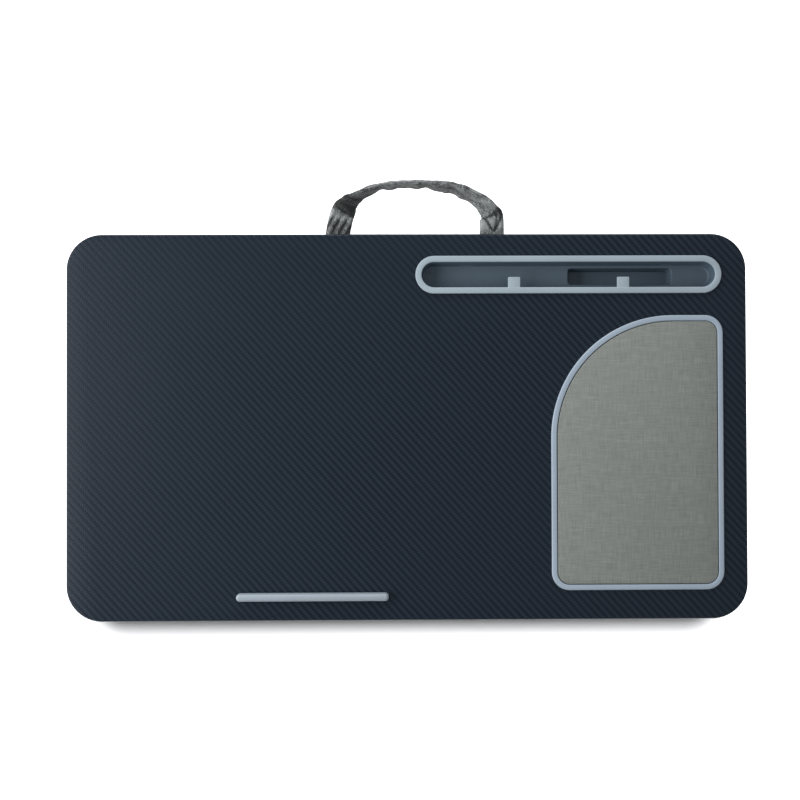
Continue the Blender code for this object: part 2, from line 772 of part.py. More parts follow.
# Soft outlines: sides that draw in between their corners
def soft_ring(middle, half_width, half_length, radius, inset, draw, height):
    """A rounded rectangle whose sides pull in by the draw, scaled in by the inset."""
    corners = rounded_outline(
        -half_width,
        half_width,
        -half_length,
        half_length,
        (radius,) * 4,
        (SOFT_CORNER_STEPS,) * 4,
    )
    points = []
    for quarter in range(4):
        first = quarter * (SOFT_CORNER_STEPS + 1)
        points.extend(corners[first : first + SOFT_CORNER_STEPS + 1])
        start = Vector(corners[first + SOFT_CORNER_STEPS])
        end = Vector(corners[(first + SOFT_CORNER_STEPS + 1) % len(corners)])
        run = end - start
        inward = Vector((-run.y, run.x)).normalized()
        for step in range(1, SOFT_SIDE_STEPS):
            share = step / SOFT_SIDE_STEPS
            bow = 1 - (2 * share - 1) ** 2
            points.append(tuple(start + run * share + inward * draw * bow))
    across = (half_width - inset) / half_width
    along = (half_length - inset) / half_length
    return [(middle + x * across, y * along, height) for x, y in points]


# Bolsters: a stapled fabric cover, open at the top, over a bag of beads
FLANGE_UNDERSIDE = CUSHION_HEIGHT - FLANGE_THICKNESS
BOLSTER_FLAT_ANGLE = math.asin(BOLSTER_WAIST_HEIGHT / (BOLSTER_WAIST_HEIGHT + BOLSTER_FLAT_CUT))


def bolster_rows(depth):
    """Inset, height and draw-in of each ring of a layer this deep, from the flat foot to the top."""
    rows = []
    for step in range(BOLSTER_LOWER_STEPS + 1):
        angle = BOLSTER_FLAT_ANGLE * (1 - step / BOLSTER_LOWER_STEPS)
        rows.append(
            (
                depth + (BOLSTER_BOTTOM_TURN - depth) * (1 - math.cos(angle)),
                BOLSTER_WAIST_HEIGHT
                - (BOLSTER_WAIST_HEIGHT + BOLSTER_FLAT_CUT - depth) * math.sin(angle),
                BOLSTER_DRAW_IN * math.cos(angle),
            )
        )
    for step in range(1, BOLSTER_UPPER_STEPS + 1):
        angle = BOLSTER_TOP_ANGLE * step / BOLSTER_UPPER_STEPS
        rise = math.sin(angle) / math.sin(BOLSTER_TOP_ANGLE)
        rows.append(
            (
                depth + BOLSTER_TOP_TURN * (1 - math.cos(angle)),
                BOLSTER_WAIST_HEIGHT + (FLANGE_UNDERSIDE - BOLSTER_WAIST_HEIGHT) * rise,
                BOLSTER_DRAW_IN * math.cos(QUARTER_TURN * step / BOLSTER_UPPER_STEPS),
            )
        )
    return rows


def bolster_rings(middle, rows):
    return [
        soft_ring(
            middle, BOLSTER_WIDTH / 2, BOLSTER_BACK, BOLSTER_CORNER_RADIUS, inset, draw, height
        )
        for inset, height, draw in rows
    ]


BOLSTER_X = BOARD_RIGHT - BOLSTER_MARGIN - BOLSTER_WIDTH / 2
BOLSTER_BACK = BOARD_BACK - BOLSTER_MARGIN
BAG_DEPTH = COVER_THICKNESS + SEAT_GAP
cover_rows = bolster_rows(0)
lining_rows = bolster_rows(COVER_THICKNESS)
bag_rows = bolster_rows(BAG_DEPTH)
flange_rows = [
    (0, FLANGE_UNDERSIDE, 0),
    (0, CUSHION_HEIGHT, 0),
    (lining_rows[-1][0], CUSHION_HEIGHT, 0),
]
bag_rows.append((bag_rows[-1][0], CUSHION_HEIGHT, 0))
cover_fabric = material("cover_fabric", (0.10, 0.11, 0.12), 0.95)
bag_fabric = material("bag_fabric", (0.60, 0.60, 0.58), 0.9)
covers = {}
bags = {}
for side, end in (("left", -1), ("right", 1)):
    rows = [*cover_rows, *flange_rows, *reversed(lining_rows)]
    covers[side] = loft(
        f"bolster_cover_{side}", bolster_rings(end * BOLSTER_X, rows), cover_fabric
    )
    bags[side] = loft(f"inner_bag_{side}", bolster_rings(end * BOLSTER_X, bag_rows), bag_fabric)

# Centre panel: a thin padded panel between the bolsters, under the strap ends
PANEL_HALF_WIDTH = BOLSTER_X - BOLSTER_WIDTH / 2 - SEAT_GAP
PANEL_BOTTOM = CUSHION_HEIGHT - PANEL_THICKNESS


def panel_ring(inset, height):
    return soft_ring(0, PANEL_HALF_WIDTH, BOLSTER_BACK, PANEL_CORNER_RADIUS, inset, 0, height)


panel_rings = [panel_ring(0, CUSHION_HEIGHT)]
for step in range(PANEL_EDGE_STEPS + 1):
    angle = QUARTER_TURN * step / PANEL_EDGE_STEPS
    panel_rings.append(
        panel_ring(
            PANEL_EDGE_ROUNDING * (1 - math.cos(angle)),
            PANEL_BOTTOM + PANEL_EDGE_ROUNDING * (1 - math.sin(angle)),
        )
    )
panel_rings.append(panel_ring(PANEL_HALF_WIDTH * PANEL_CROWN_SHARE, PANEL_BOTTOM - PANEL_CROWN))
centre_panel = loft("centre_panel", panel_rings, cover_fabric)

for soft_piece in (centre_panel, *covers.values(), *bags.values()):
    cut(soft_piece, tub_room, *strap_rooms)
for soft_piece in (centre_panel, covers["right"], bags["right"]):
    cut(soft_piece, pocket_room)


# Staples: bent wire through a soft piece up into the core, each leg in a hole with clearance
staple_wire = material("staple_wire", (0.60, 0.61, 0.62), 0.3, 1.0)


def staple(name, middle, along, top, leg, gripped):
    """A staple below the height top, with its crown along a direction, through what it grips."""
    along = Vector(along).normalized()
    across = Vector((-along.y, along.x))
    half = STAPLE_CROWN / 2
    foot = top - STAPLE_WIRE
    profile = (
        (-half, foot),
        (half, foot),
        (half, foot + leg),
        (half - STAPLE_WIRE, foot + leg),
        (half - STAPLE_WIRE, top),
        (STAPLE_WIRE - half, top),
        (STAPLE_WIRE - half, foot + leg),
        (-half, foot + leg),
    )
    rings = []
    for side in (-1, 1):
        place = Vector(middle) + across * side * STAPLE_WIRE / 2
        rings.append([(*(place + along * run), height) for run, height in profile])
    loft(name, rings, staple_wire)
    for number, end in enumerate((-1, 1), start=1):
        leg_middle = Vector(middle) + along * end * (half - STAPLE_WIRE / 2)
        reach = STAPLE_WIRE / 2 + SEAT_GAP
        hole_outline = [
            tuple(leg_middle + along * reach * a + across * reach * b)
            for a, b in ((-1, -1), (1, -1), (1, 1), (-1, 1))
        ]
        hole = prism(f"{name}_hole_{number}", hole_outline, foot, foot + leg + SEAT_GAP)
        cut(gripped, hole)
        cut(board_core, hole)


def spaced(count, start, end):
    """Even places between two ends, half a step in from each."""
    return [start + (end - start) * (number + 1 / 2) / count for number in range(count)]


# The rows along the sides of a bolster end in front of the tray.
ROW_FRONT = -BOLSTER_BACK
ROW_BACK = TRAY_Y - TRAY_WIDTH / 2
for side, end in (("left", -1), ("right", 1)):
    middle_x = end * BOLSTER_X
    places = []
    for edge in (-1, 1):
        row_x = middle_x + edge * (BOLSTER_WIDTH / 2 - STAPLE_INSET)
        row_y = edge * (BOLSTER_BACK - STAPLE_INSET)
        for y in spaced(STAPLES_PER_SIDE, ROW_FRONT, ROW_BACK):
            places.append(((row_x, y), (0, 1)))
        for x in spaced(STAPLES_PER_END, middle_x - BOLSTER_WIDTH / 2, middle_x + BOLSTER_WIDTH / 2):
            places.append(((x, row_y), (1, 0)))
    for number, (middle, along) in enumerate(places, start=1):
        staple(
            f"cover_staple_{side}_{number}",
            middle,
            along,
            FLANGE_UNDERSIDE - SEAT_GAP,
            STAPLE_LEG,
            covers[side],
        )
    leg_x = STRAP_CENTRE_X + end * STRAP_SPACING / 2
    for number, y in enumerate(spaced(STAPLES_PER_STRAP_END, TAIL_START, BOARD_BACK), start=1):
        staple(
            f"strap_staple_{side}_{number}",
            (leg_x, y),
            (1, 0),
            STRAP_STAPLE_TOP,
            STRAP_STAPLE_LEG,
            strap_ends[side],
        )
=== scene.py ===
import math

import bmesh
import bpy
import numpy as np
from mathutils import Matrix, Vector
from mathutils.bvhtree import BVHTree
from mathutils.noise import noise as gradient_noise


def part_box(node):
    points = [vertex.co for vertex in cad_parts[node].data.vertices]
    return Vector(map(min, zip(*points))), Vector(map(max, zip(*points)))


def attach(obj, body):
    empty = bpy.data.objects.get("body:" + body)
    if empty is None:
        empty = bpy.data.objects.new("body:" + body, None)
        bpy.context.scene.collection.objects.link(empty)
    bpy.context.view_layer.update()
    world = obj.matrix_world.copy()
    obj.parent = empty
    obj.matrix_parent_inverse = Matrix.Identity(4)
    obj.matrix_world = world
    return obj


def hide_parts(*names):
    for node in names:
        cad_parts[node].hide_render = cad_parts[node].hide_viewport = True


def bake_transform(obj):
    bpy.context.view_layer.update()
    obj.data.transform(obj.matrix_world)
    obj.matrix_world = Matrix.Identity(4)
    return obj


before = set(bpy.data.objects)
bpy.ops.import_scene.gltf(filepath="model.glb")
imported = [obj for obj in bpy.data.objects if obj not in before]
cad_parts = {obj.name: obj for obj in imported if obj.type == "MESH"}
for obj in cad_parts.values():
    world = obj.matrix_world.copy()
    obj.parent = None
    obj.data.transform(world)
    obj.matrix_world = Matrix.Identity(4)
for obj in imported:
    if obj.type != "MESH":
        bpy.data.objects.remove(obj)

bpy.ops.object.select_all(action="DESELECT")
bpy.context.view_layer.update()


# Viewpoint: the desk is seen from above, from the height at which the tray's walls show as much
# as they do in the photograph. The camera leans by less than a degree, as it did there.
PIXEL_ON_DECK = 0.7863e-3
PICTURE_WIDTH = 800
CAMERA_ABOVE_DECK = 0.880
CAMERA_X = -0.0158
CAMERA_Y = -0.0119
CAMERA_LEAN = (0.0125, -0.0111, -0.0035)
SENSOR_WIDTH = 36
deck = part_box("carbon_laminate")[1].z
lens = bpy.data.cameras.new("camera")
lens.sensor_width = SENSOR_WIDTH
lens.lens = SENSOR_WIDTH * CAMERA_ABOVE_DECK / (PICTURE_WIDTH * PIXEL_ON_DECK)
camera = bpy.data.objects.new("camera", lens)
camera.location = (CAMERA_X, CAMERA_Y, deck + CAMERA_ABOVE_DECK)
camera.rotation_euler = CAMERA_LEAN
bpy.context.scene.collection.objects.link(camera)
bpy.context.scene.camera = camera
bpy.context.scene.view_settings.view_transform = "Standard"


# Light: a soft box at the left and a low one behind light the desk, in a dim room. A broad light
# from above lights nothing but the floor, so that the floor is white and keeps a short shadow.
LEFT_BOX_PLACE = (-0.85, 0.0, 0.62)
LEFT_BOX_SIZE = (1.0, 0.7)
LEFT_BOX_POWER = 12.4
BACK_BOX_PLACE = (0.0, 1.128, 0.476)
BACK_BOX_SIZE = (1.2, 0.5)
BACK_BOX_POWER = 8.6
FLOOR_LIGHT_LEAN = math.radians(21.4)
FLOOR_LIGHT_SPREAD = math.radians(25)
FLOOR_LIGHT_STRENGTH = 8.1


def soft_box(name, place, size, power):
    """A soft box that looks at the middle of the floor."""
    lamp = bpy.data.lights.new(name, "AREA")
    lamp.shape = "RECTANGLE"
    lamp.size, lamp.size_y = size
    lamp.energy = power
    holder = bpy.data.objects.new(name, lamp)
    holder.location = place
    holder.rotation_euler = Vector(place).to_track_quat("Z", "Y").to_euler()
    bpy.context.scene.collection.objects.link(holder)
    return holder


left_box = soft_box("left_box", LEFT_BOX_PLACE, LEFT_BOX_SIZE, LEFT_BOX_POWER)
back_box = soft_box("back_box", BACK_BOX_PLACE, BACK_BOX_SIZE, BACK_BOX_POWER)
floor_light = bpy.data.objects.new("floor_light", bpy.data.lights.new("floor_light", "SUN"))
floor_light.data.energy = FLOOR_LIGHT_STRENGTH
floor_light.data.angle = FLOOR_LIGHT_SPREAD
floor_light.rotation_euler = (-FLOOR_LIGHT_LEAN, 0, 0)
bpy.context.scene.collection.objects.link(floor_light)


def add(finish, kind, feeds=None, **options):
    """Adds a node to a finish, sets its options and feeds its inputs, by name or by number."""
    step = finish.node_tree.nodes.new("ShaderNode" + kind)
    for option, value in options.items():
        setattr(step, option, value)
    for socket, source in (feeds or {}).items():
        if isinstance(source, bpy.types.NodeSocket):
            finish.node_tree.links.new(source, step.inputs[socket])
        else:
            step.inputs[socket].default_value = source
    return step.outputs[0]


def calc(finish, operation, *values):
    return add(finish, "Math", dict(enumerate(values)), operation=operation)


def mix(finish, share, first, second):
    """Mixes two colours, or two numbers, by a share."""
    numbers = not isinstance(second, tuple) and not (
        isinstance(second, bpy.types.NodeSocket) and second.type == "RGBA"
    )
    step = finish.node_tree.nodes.new("ShaderNodeMix")
    step.data_type = "FLOAT" if numbers else "RGBA"
    pair = (2, 3) if numbers else (6, 7)
    for socket, source in zip((0, *pair), (share, first, second)):
        if isinstance(source, bpy.types.NodeSocket):
            finish.node_tree.links.new(source, step.inputs[socket])
        elif isinstance(source, tuple):
            step.inputs[socket].default_value = (*source, 1)
        else:
            step.inputs[socket].default_value = source
    return step.outputs[0 if numbers else 2]


def shown_rays(finish):
    """1 for what the camera sees straight, in a shine or through glass, and 0 for other light."""
    add(finish, "LightPath")
    seen = finish.node_tree.nodes[-1].outputs
    mirrored = calc(finish, "MAXIMUM", seen["Is Glossy Ray"], seen["Is Transmission Ray"])
    return calc(finish, "MAXIMUM", seen["Is Camera Ray"], mirrored)


ROOM_LEVEL = 0.22
room = bpy.data.worlds.new("room")
bpy.context.scene.world = room
room.use_nodes = True
shown = shown_rays(room)
strength = mix(room, shown, ROOM_LEVEL, 1.0)
background = room.node_tree.nodes["Background"]
room.node_tree.links.new(strength, background.inputs["Strength"])
room.node_tree.links.new(mix(room, shown, (0.92, 0.96, 1), (1, 1, 1)), background.inputs["Color"])

# Floor: a wide white sheet. It shows as white, but keeps the shadow of the desk.
FLOOR_SIZE = 12
bpy.ops.mesh.primitive_plane_add(size=FLOOR_SIZE)
floor = bpy.context.object
floor.name = "floor"
paper = bpy.data.materials.new("floor_paper")
paper.use_nodes = True
paper.node_tree.nodes.remove(paper.node_tree.nodes["Principled BSDF"])
sheet_colour = mix(paper, shown_rays(paper), (0.40, 0.40, 0.40), (0.85, 0.85, 0.86))
matte = add(paper, "BsdfDiffuse", {"Color": sheet_colour})
paper.node_tree.links.new(matte, paper.node_tree.nodes["Material Output"].inputs["Surface"])
floor.data.materials.append(paper)
for name, state, lamps in (
    ("floor_only", "INCLUDE", [floor_light]),
    ("desk_only", "EXCLUDE", [left_box, back_box]),
):
    lit = bpy.data.collections.new(name)
    lit.objects.link(floor)
    lit.collection_objects[0].light_linking.link_state = state
    for lamp in lamps:
        lamp.light_linking.receiver_collection = lit


# Board skin: a thin pressed laminate with a carbon-twill face, wrapped over the top and down the
# edges of the core and glued. It is one shell, cut out for the tray, the mouse pad and the pegs.
BOARD_CORNER_RADIUS = 0.028
BOARD_EDGE_RADIUS = 0.002
SKIN_THICKNESS = 0.0008
CORNER_STEPS = 20
EDGE_STEPS = 5
CUT_OVERRUN = 0.002
SMOOTH_ANGLE = math.radians(32)
SAME_PLACE = 1e-5
SAME_WAY = 0.99
NEARLY_ALL = 0.9999
PEG_SIDES = 32


def only(piece):
    """Makes one piece the only one selected."""
    bpy.ops.object.select_all(action="DESELECT")
    piece.select_set(True)
    bpy.context.view_layer.objects.active = piece


def pick(piece, kind, wanted):
    """Selects the vertices, edges or faces that a test wants, in edit mode."""
    bpy.ops.mesh.select_mode(type=kind)
    bpy.ops.mesh.select_all(action="DESELECT")
    shape = bmesh.from_edit_mesh(piece.data)
    shape.normal_update()
    for element in {"VERT": shape.verts, "EDGE": shape.edges, "FACE": shape.faces}[kind]:
        if wanted(element):
            element.select_set(True)
    bmesh.update_edit_mesh(piece.data)


def leave_edit():
    bpy.ops.object.mode_set(mode="OBJECT")


def round_off(piece, wanted, radius, steps):
    """Rounds the edges that a test wants, in edit mode."""
    pick(piece, "EDGE", wanted)
    bpy.ops.mesh.bevel(offset=radius, segments=steps, affect="EDGES")


def upright(edge):
    run = edge.verts[1].co - edge.verts[0].co
    return abs(run.z) > SAME_WAY * run.length


def level_at(height):
    """A test for edges that lie at a height."""
    return lambda edge: all(abs(end.co.z - height) < SAME_PLACE for end in edge.verts)


def rim_of_top(height):
    """A test for edges at a height where a level top meets a side."""
    return lambda edge: level_at(height)(edge) and (
        len({face.normal.z > SAME_WAY for face in edge.link_faces}) > 1
    )


def open_edge(edge):
    return len(edge.link_faces) == 1


def facing(x, y, z, height=None):
    """A test for faces that look in a direction, at a height where one is given."""
    way = Vector((x, y, z))
    return lambda face: face.normal.dot(way) > SAME_WAY and (
        height is None or abs(face.calc_center_median().z - height) < SAME_PLACE
    )


def apply(piece, kind, **settings):
    """Adds one modifier and applies it."""
    only(piece)
    step = piece.modifiers.new(kind.lower(), kind)
    for setting, value in settings.items():
        setattr(step, setting, value)
    bpy.ops.object.modifier_apply(modifier=step.name)


def slab(name, low, high):
    """A block between two corners, as a piece whose place is in its mesh, left in edit mode."""
    bpy.ops.mesh.primitive_cube_add(size=1)
    piece = bpy.context.object
    piece.name = name
    size = Vector(high) - Vector(low)
    piece.data.transform(Matrix.LocRotScale((Vector(low) + Vector(high)) / 2, None, size))
    bpy.ops.object.mode_set(mode="EDIT")
    return piece


def obround(name, low, high, steps=16):
    """An upright block with half-round ends between two corners, left in edit mode."""
    piece = slab(name, low, high)
    radius = min(high[0] - low[0], high[1] - low[1]) / 2
    round_off(piece, upright, radius * NEARLY_ALL, steps)
    bpy.ops.mesh.select_all(action="SELECT")
    bpy.ops.mesh.remove_doubles(threshold=SAME_PLACE)
    return piece


def remove_after(cutters):
    for cutter in cutters:
        bpy.data.objects.remove(cutter, do_unlink=True)


def carve(piece, cutters, operation="DIFFERENCE"):
    """Cuts shapes from a piece, or joins them to it, and takes the shapes away."""
    for cutter in cutters:
        apply(piece, "BOOLEAN", object=cutter, operation=operation, solver="EXACT")
    remove_after(cutters)


def smooth(piece, angle=SMOOTH_ANGLE):
    only(piece)
    bpy.ops.object.shade_smooth_by_angle(angle=angle)


skin_low, skin_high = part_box("carbon_laminate")
skin = slab("board_skin", skin_low, skin_high)
round_off(skin, upright, BOARD_CORNER_RADIUS, CORNER_STEPS)
round_off(skin, level_at(skin_high.z), BOARD_EDGE_RADIUS, EDGE_STEPS)
pick(skin, "FACE", facing(0, 0, -1))
bpy.ops.mesh.delete(type="FACE")
leave_edit()
apply(skin, "SOLIDIFY", thickness=SKIN_THICKNESS, offset=-1, use_even_offset=True)
TRAY_RIM_WIDTH = 0.0048
TRAY_HOLE_MARGIN = 0.0029
tray_low, tray_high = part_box("device_tray")
pad_low, pad_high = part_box("mouse_pad_frame")
ledge_low, ledge_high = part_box("device_ledge")
PAD_BIG_RADIUS = 0.0964
PAD_SMALL_RADIUS = 0.014
PAD_BIG_STEPS = 36
PAD_SMALL_STEPS = 10
PAD_RECESS_INSET = 0.0027
PEG_RADIUS = 0.0025
PEG_SPACING = 0.090
PEG_CLEARANCE = 0.0003


def grown(low, high, by, bottom, top):
    """Two corners of a block, moved out by a length, between two heights."""
    return Vector((low.x - by, low.y - by, bottom)), Vector((high.x + by, high.y + by, top))


def pad_block(name, inset, bottom, top):
    """A block with the mouse pad's outline: one big corner at the back left, three small ones."""
    low, high = grown(pad_low, pad_high, -inset, bottom, top)
    piece = slab(name, low, high)
    for radius, steps, corners in (
        (PAD_BIG_RADIUS, PAD_BIG_STEPS, [(low.x, high.y)]),
        (PAD_SMALL_RADIUS, PAD_SMALL_STEPS, [(low.x, low.y), (high.x, low.y), (high.x, high.y)]),
    ):
        round_off(
            piece,
            lambda edge: upright(edge)
            and any(math.dist(edge.verts[0].co.xy, corner) < SAME_PLACE for corner in corners),
            radius - inset,
            steps,
        )
    return piece


def peg(name, x, radius, bottom, top):
    """An upright round peg on the ledge's middle line."""
    bpy.ops.mesh.primitive_cylinder_add(
        vertices=PEG_SIDES,
        radius=radius,
        depth=top - bottom,
        location=(x, ledge_y, (bottom + top) / 2),
    )
    piece = bpy.context.object
    piece.name = name
    bpy.ops.object.transform_apply()
    return piece


hole_bottom = skin_low.z - CUT_OVERRUN
hole_top = skin_high.z + CUT_OVERRUN
tray_hole = obround(
    "tray_hole", *grown(tray_low, tray_high, -TRAY_HOLE_MARGIN, hole_bottom, hole_top)
)
leave_edit()
pad_hole = pad_block("pad_hole", PAD_RECESS_INSET, hole_bottom, hole_top)
leave_edit()
ledge_x = (ledge_low.x + ledge_high.x) / 2
ledge_y = (ledge_low.y + ledge_high.y) / 2
peg_xs = (ledge_x - PEG_SPACING / 2, ledge_x + PEG_SPACING / 2)
peg_holes = [
    peg("peg_hole", x, PEG_RADIUS + PEG_CLEARANCE, hole_bottom, hole_top) for x in peg_xs
]
carve(skin, [tray_hole, pad_hole, *peg_holes])
smooth(skin)


def new_finish(name, roughness, metallic=0.0):
    """A finish to build on, with its object coordinates and its shader."""
    finish = bpy.data.materials.new(name)
    finish.use_nodes = True
    shader = finish.node_tree.nodes["Principled BSDF"]
    shader.inputs["Roughness"].default_value = roughness
    shader.inputs["Metallic"].default_value = metallic
    add(finish, "TexCoord")
    return finish, finish.node_tree.nodes[-1].outputs["Object"], shader


def split(finish, vector):
    add(finish, "SeparateXYZ", {0: vector})
    return finish.node_tree.nodes[-1].outputs


def feed(finish, source, shader, socket):
    finish.node_tree.links.new(source, shader.inputs[socket])


def noise(finish, coordinates, scale, detail=2.0, stretch=(1, 1, 1)):
    """Noise whose grain is about one over the scale, in metres, longer where the stretch is low."""
    place = add(finish, "Mapping", {"Vector": coordinates, "Scale": stretch})
    return add(finish, "TexNoise", {"Vector": place, "Scale": scale, "Detail": detail})


def ramp(finish, value, low, high, to_low=0.0, to_high=1.0):
    return add(
        finish,
        "MapRange",
        {"Value": value, "From Min": low, "From Max": high, "To Min": to_low, "To Max": to_high},
    )


def tint(finish, colour, value, low, high, other, share=1.0):
    """Lets another colour in, from none to a share, as a value goes from low to high."""
    return mix(finish, ramp(finish, value, low, high, 0, share), colour, other)


def bump(finish, height, strength, distance, shader):
    relief = add(finish, "Bump", {"Height": height, "Strength": strength, "Distance": distance})
    feed(finish, relief, shader, "Normal")


def hump(finish, part):
    """Rises from 0 at both edges of a yarn to 1 in its middle."""
    return calc(finish, "SINE", calc(finish, "MULTIPLY", part, math.pi))


# Twill: each tow passes over two crossing tows and under the next two, one step on in each row.
TOW_WIDTH_X = 0.00151
TOW_WIDTH_Y = 0.00166
twill, place, shader = new_finish("carbon_twill", 0.34)
x, y, z = split(twill, place)
across = calc(twill, "DIVIDE", calc(twill, "ADD", x, z), TOW_WIDTH_X)
along = calc(twill, "DIVIDE", calc(twill, "ADD", y, z), TOW_WIDTH_Y)
diagonal = calc(twill, "ADD", calc(twill, "FLOOR", across), calc(twill, "FLOOR", along))
tow_step = calc(twill, "FLOORED_MODULO", diagonal, 4.0)
across_part = calc(twill, "FRACT", across)
along_part = calc(twill, "FRACT", along)
over = calc(twill, "LESS_THAN", tow_step, 2.0)
warp_run = calc(twill, "DIVIDE", calc(twill, "ADD", tow_step, along_part), 2.0)
weft_step = calc(twill, "SUBTRACT", tow_step, 2.0)
weft_run = calc(twill, "DIVIDE", calc(twill, "ADD", weft_step, across_part), 2.0)
warp_height = calc(twill, "MULTIPLY", hump(twill, across_part), hump(twill, warp_run))
weft_height = calc(twill, "MULTIPLY", hump(twill, along_part), hump(twill, weft_run))
tow_height = mix(twill, over, weft_height, warp_height)
warp_fibres = noise(twill, place, 400, 2, (12, 1, 1))
weft_fibres = noise(twill, place, 400, 2, (1, 12, 1))
fibres = mix(twill, over, weft_fibres, warp_fibres)
patches = noise(twill, place, 9, 3)
tow_colour = mix(twill, over, (0.0022, 0.0065, 0.0140), (0.0180, 0.0280, 0.0415))
tow_colour = tint(twill, tow_colour, fibres, 0.3, 0.7, (0.0085, 0.0148, 0.0245), 0.5)
# Painted light: the stripes' contrast is painted fainter towards the back left, as a shine would
# be.
slant = calc(twill, "SUBTRACT", x, calc(twill, "MULTIPLY", y, 0.9))
painted_shine_and_patch_fade = ramp(twill, slant, 0.03, -0.32, 0, 0.45)
# Random patches fade the stripes a little as well.
painted_shine_and_patch_fade = calc(twill, "ADD", painted_shine_and_patch_fade, ramp(twill, patches, 0.35, 0.65, 0, 0.2))
tow_colour = mix(twill, painted_shine_and_patch_fade, tow_colour, (0.0105, 0.0172, 0.0262))
feed(twill, tow_colour, shader, "Base Color")
feed(twill, ramp(twill, patches, 0.3, 0.7, 0.30, 0.38), shader, "Roughness")
shader.inputs["Specular IOR Level"].default_value = 0.12
relief = calc(twill, "ADD", tow_height, calc(twill, "MULTIPLY", fibres, 0.3))
bump(twill, relief, 0.5, 0.00008, shader)
skin.data.materials.append(twill)
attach(skin, "root")
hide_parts("carbon_laminate")


# Board core: a panel of pressed wood fibre that carries all the rest. It shows only from below,
# between the soft pieces and the edge of the board.
def coat(node, finish):
    """Gives a solid that stays as it is its finish."""
    node.data.materials.clear()
    node.data.materials.append(finish)


fibreboard, place, shader = new_finish("pressed_fibre", 0.85)
flecks = noise(fibreboard, place, 1400, 4, (1, 1, 1.5))
clouds = noise(fibreboard, place, 60, 3)
colour = tint(fibreboard, (0.20, 0.13, 0.075), flecks, 0.35, 0.65, (0.40, 0.29, 0.18))
colour = tint(fibreboard, colour, clouds, 0.3, 0.7, (0.27, 0.18, 0.11), 0.4)
feed(fibreboard, colour, shader, "Base Color")
bump(fibreboard, flecks, 0.4, 0.0001, shader)
coat(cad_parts["board_core"], fibreboard)


# Device tray: one moulding in grey plastic, dropped into the board from above. A flat rim lies on
# the skin, a tub hangs in the hole, and two tabs and a deeper pocket hold a phone or tablet up.
SEAT_GAP = 0.0003
FITTING_BOTTOM = deck + SEAT_GAP
RIM_ROUNDING = 0.0006
TRAY_WALL = 0.0015
TRAY_DEPTH = 0.0145
TRAY_DRAFT = math.tan(math.radians(5))
TRAY_FILLET = 0.0016
TAB_WIDTH = 0.0096
TAB_REACH = 0.0081
TAB_THICKNESS = 0.002
TAB_DROP = 0.0002
TAB_CORNER = 0.0007
TAB_ROUNDING = 0.0004
TAB_SPACING = 0.086
POCKET_LENGTH = 0.083
POCKET_WIDTH = 0.0131
POCKET_DEPTH = 0.014
POCKET_CORNER = 0.003
POCKET_LIP = 0.0005
BARB_LENGTH = 0.010
BARB_SPACING = 0.160
BARB_TIP = 0.0013
BARB_LIP = 0.0008
BARB_HEIGHT = 0.003

tray_floor = tray_high.z - TRAY_DEPTH
tub_bottom = tray_floor - TRAY_WALL
tray_middle = (tray_low + tray_high) / 2
tray = obround("tray_moulding", (*tray_low.xy, FITTING_BOTTOM), tray_high, 24)
pick(tray, "FACE", facing(0, 0, 1))
bpy.ops.mesh.inset(thickness=TRAY_RIM_WIDTH)
bpy.ops.mesh.inset(thickness=TRAY_DEPTH * TRAY_DRAFT, depth=-TRAY_DEPTH)
pick(tray, "FACE", facing(0, 0, -1))
bpy.ops.mesh.inset(thickness=TRAY_RIM_WIDTH - TRAY_WALL)
bpy.ops.mesh.inset(thickness=TRAY_DEPTH * TRAY_DRAFT, depth=FITTING_BOTTOM - tub_bottom)
round_off(tray, level_at(tray_floor), TRAY_FILLET, 5)
round_off(tray, rim_of_top(tray_high.z), RIM_ROUNDING, 3)
leave_edit()

pocket_x = tray_middle.x + TAB_SPACING / 2
pocket_floor = tray_floor - POCKET_DEPTH


def pocket_block(name, outset, bottom, top):
    """A block with the pocket's outline and the draft of a moulding, left in edit mode."""
    half = Vector((POCKET_LENGTH / 2 + outset, POCKET_WIDTH / 2 + outset))
    middle = Vector((pocket_x, tray_middle.y))
    piece = slab(name, (*(middle - half), bottom), (*(middle + half), top))
    round_off(piece, upright, POCKET_CORNER + outset, 6)
    draw = (top - bottom) * TRAY_DRAFT
    pick(piece, "FACE", facing(0, 0, -1))
    bpy.ops.transform.resize(
        value=(1 - draw / half.x, 1 - draw / half.y, 1), center_override=(*middle, bottom)
    )
    return piece


pocket_shell = pocket_block(
    "pocket_shell", TRAY_WALL, pocket_floor - TRAY_WALL, tray_floor - TRAY_WALL / 2
)
leave_edit()
pocket_room = pocket_block("pocket_room", 0, pocket_floor, tray_floor - POCKET_LIP)
pick(pocket_room, "FACE", facing(0, 0, 1))
for rise_by, spread_by in (
    (POCKET_LIP * 0.6, POCKET_LIP * 0.3),
    (POCKET_LIP * 0.4, POCKET_LIP * 0.7),
    (TRAY_WALL, 0),
):
    bpy.ops.mesh.extrude_region_move(TRANSFORM_OT_translate={"value": (0, 0, rise_by)})
    bpy.ops.transform.resize(
        value=(1 + spread_by * 2 / POCKET_LENGTH, 1 + spread_by * 2 / POCKET_WIDTH, 1),
        center_override=(pocket_x, tray_middle.y, 0),
    )
leave_edit()
carve(tray, [pocket_shell], "UNION")
carve(tray, [pocket_room])

tab_root = tray_low.y + TRAY_RIM_WIDTH
tab_top = tray_high.z - TAB_DROP
tabs = []
for side in (-1, 1):
    tab_x = tray_middle.x + side * TAB_SPACING / 2
    tab = slab(
        "tray_tab",
        (tab_x - TAB_WIDTH / 2, tab_root - TRAY_WALL / 2, tab_top - TAB_THICKNESS),
        (tab_x + TAB_WIDTH / 2, tab_root + TAB_REACH, tab_top),
    )
    round_off(tab, lambda edge: upright(edge) and edge.verts[0].co.y > tab_root, TAB_CORNER, 4)
    round_off(tab, level_at(tab_top), TAB_ROUNDING, 3)
    leave_edit()
    tabs.append(tab)
carve(tray, tabs, "UNION")

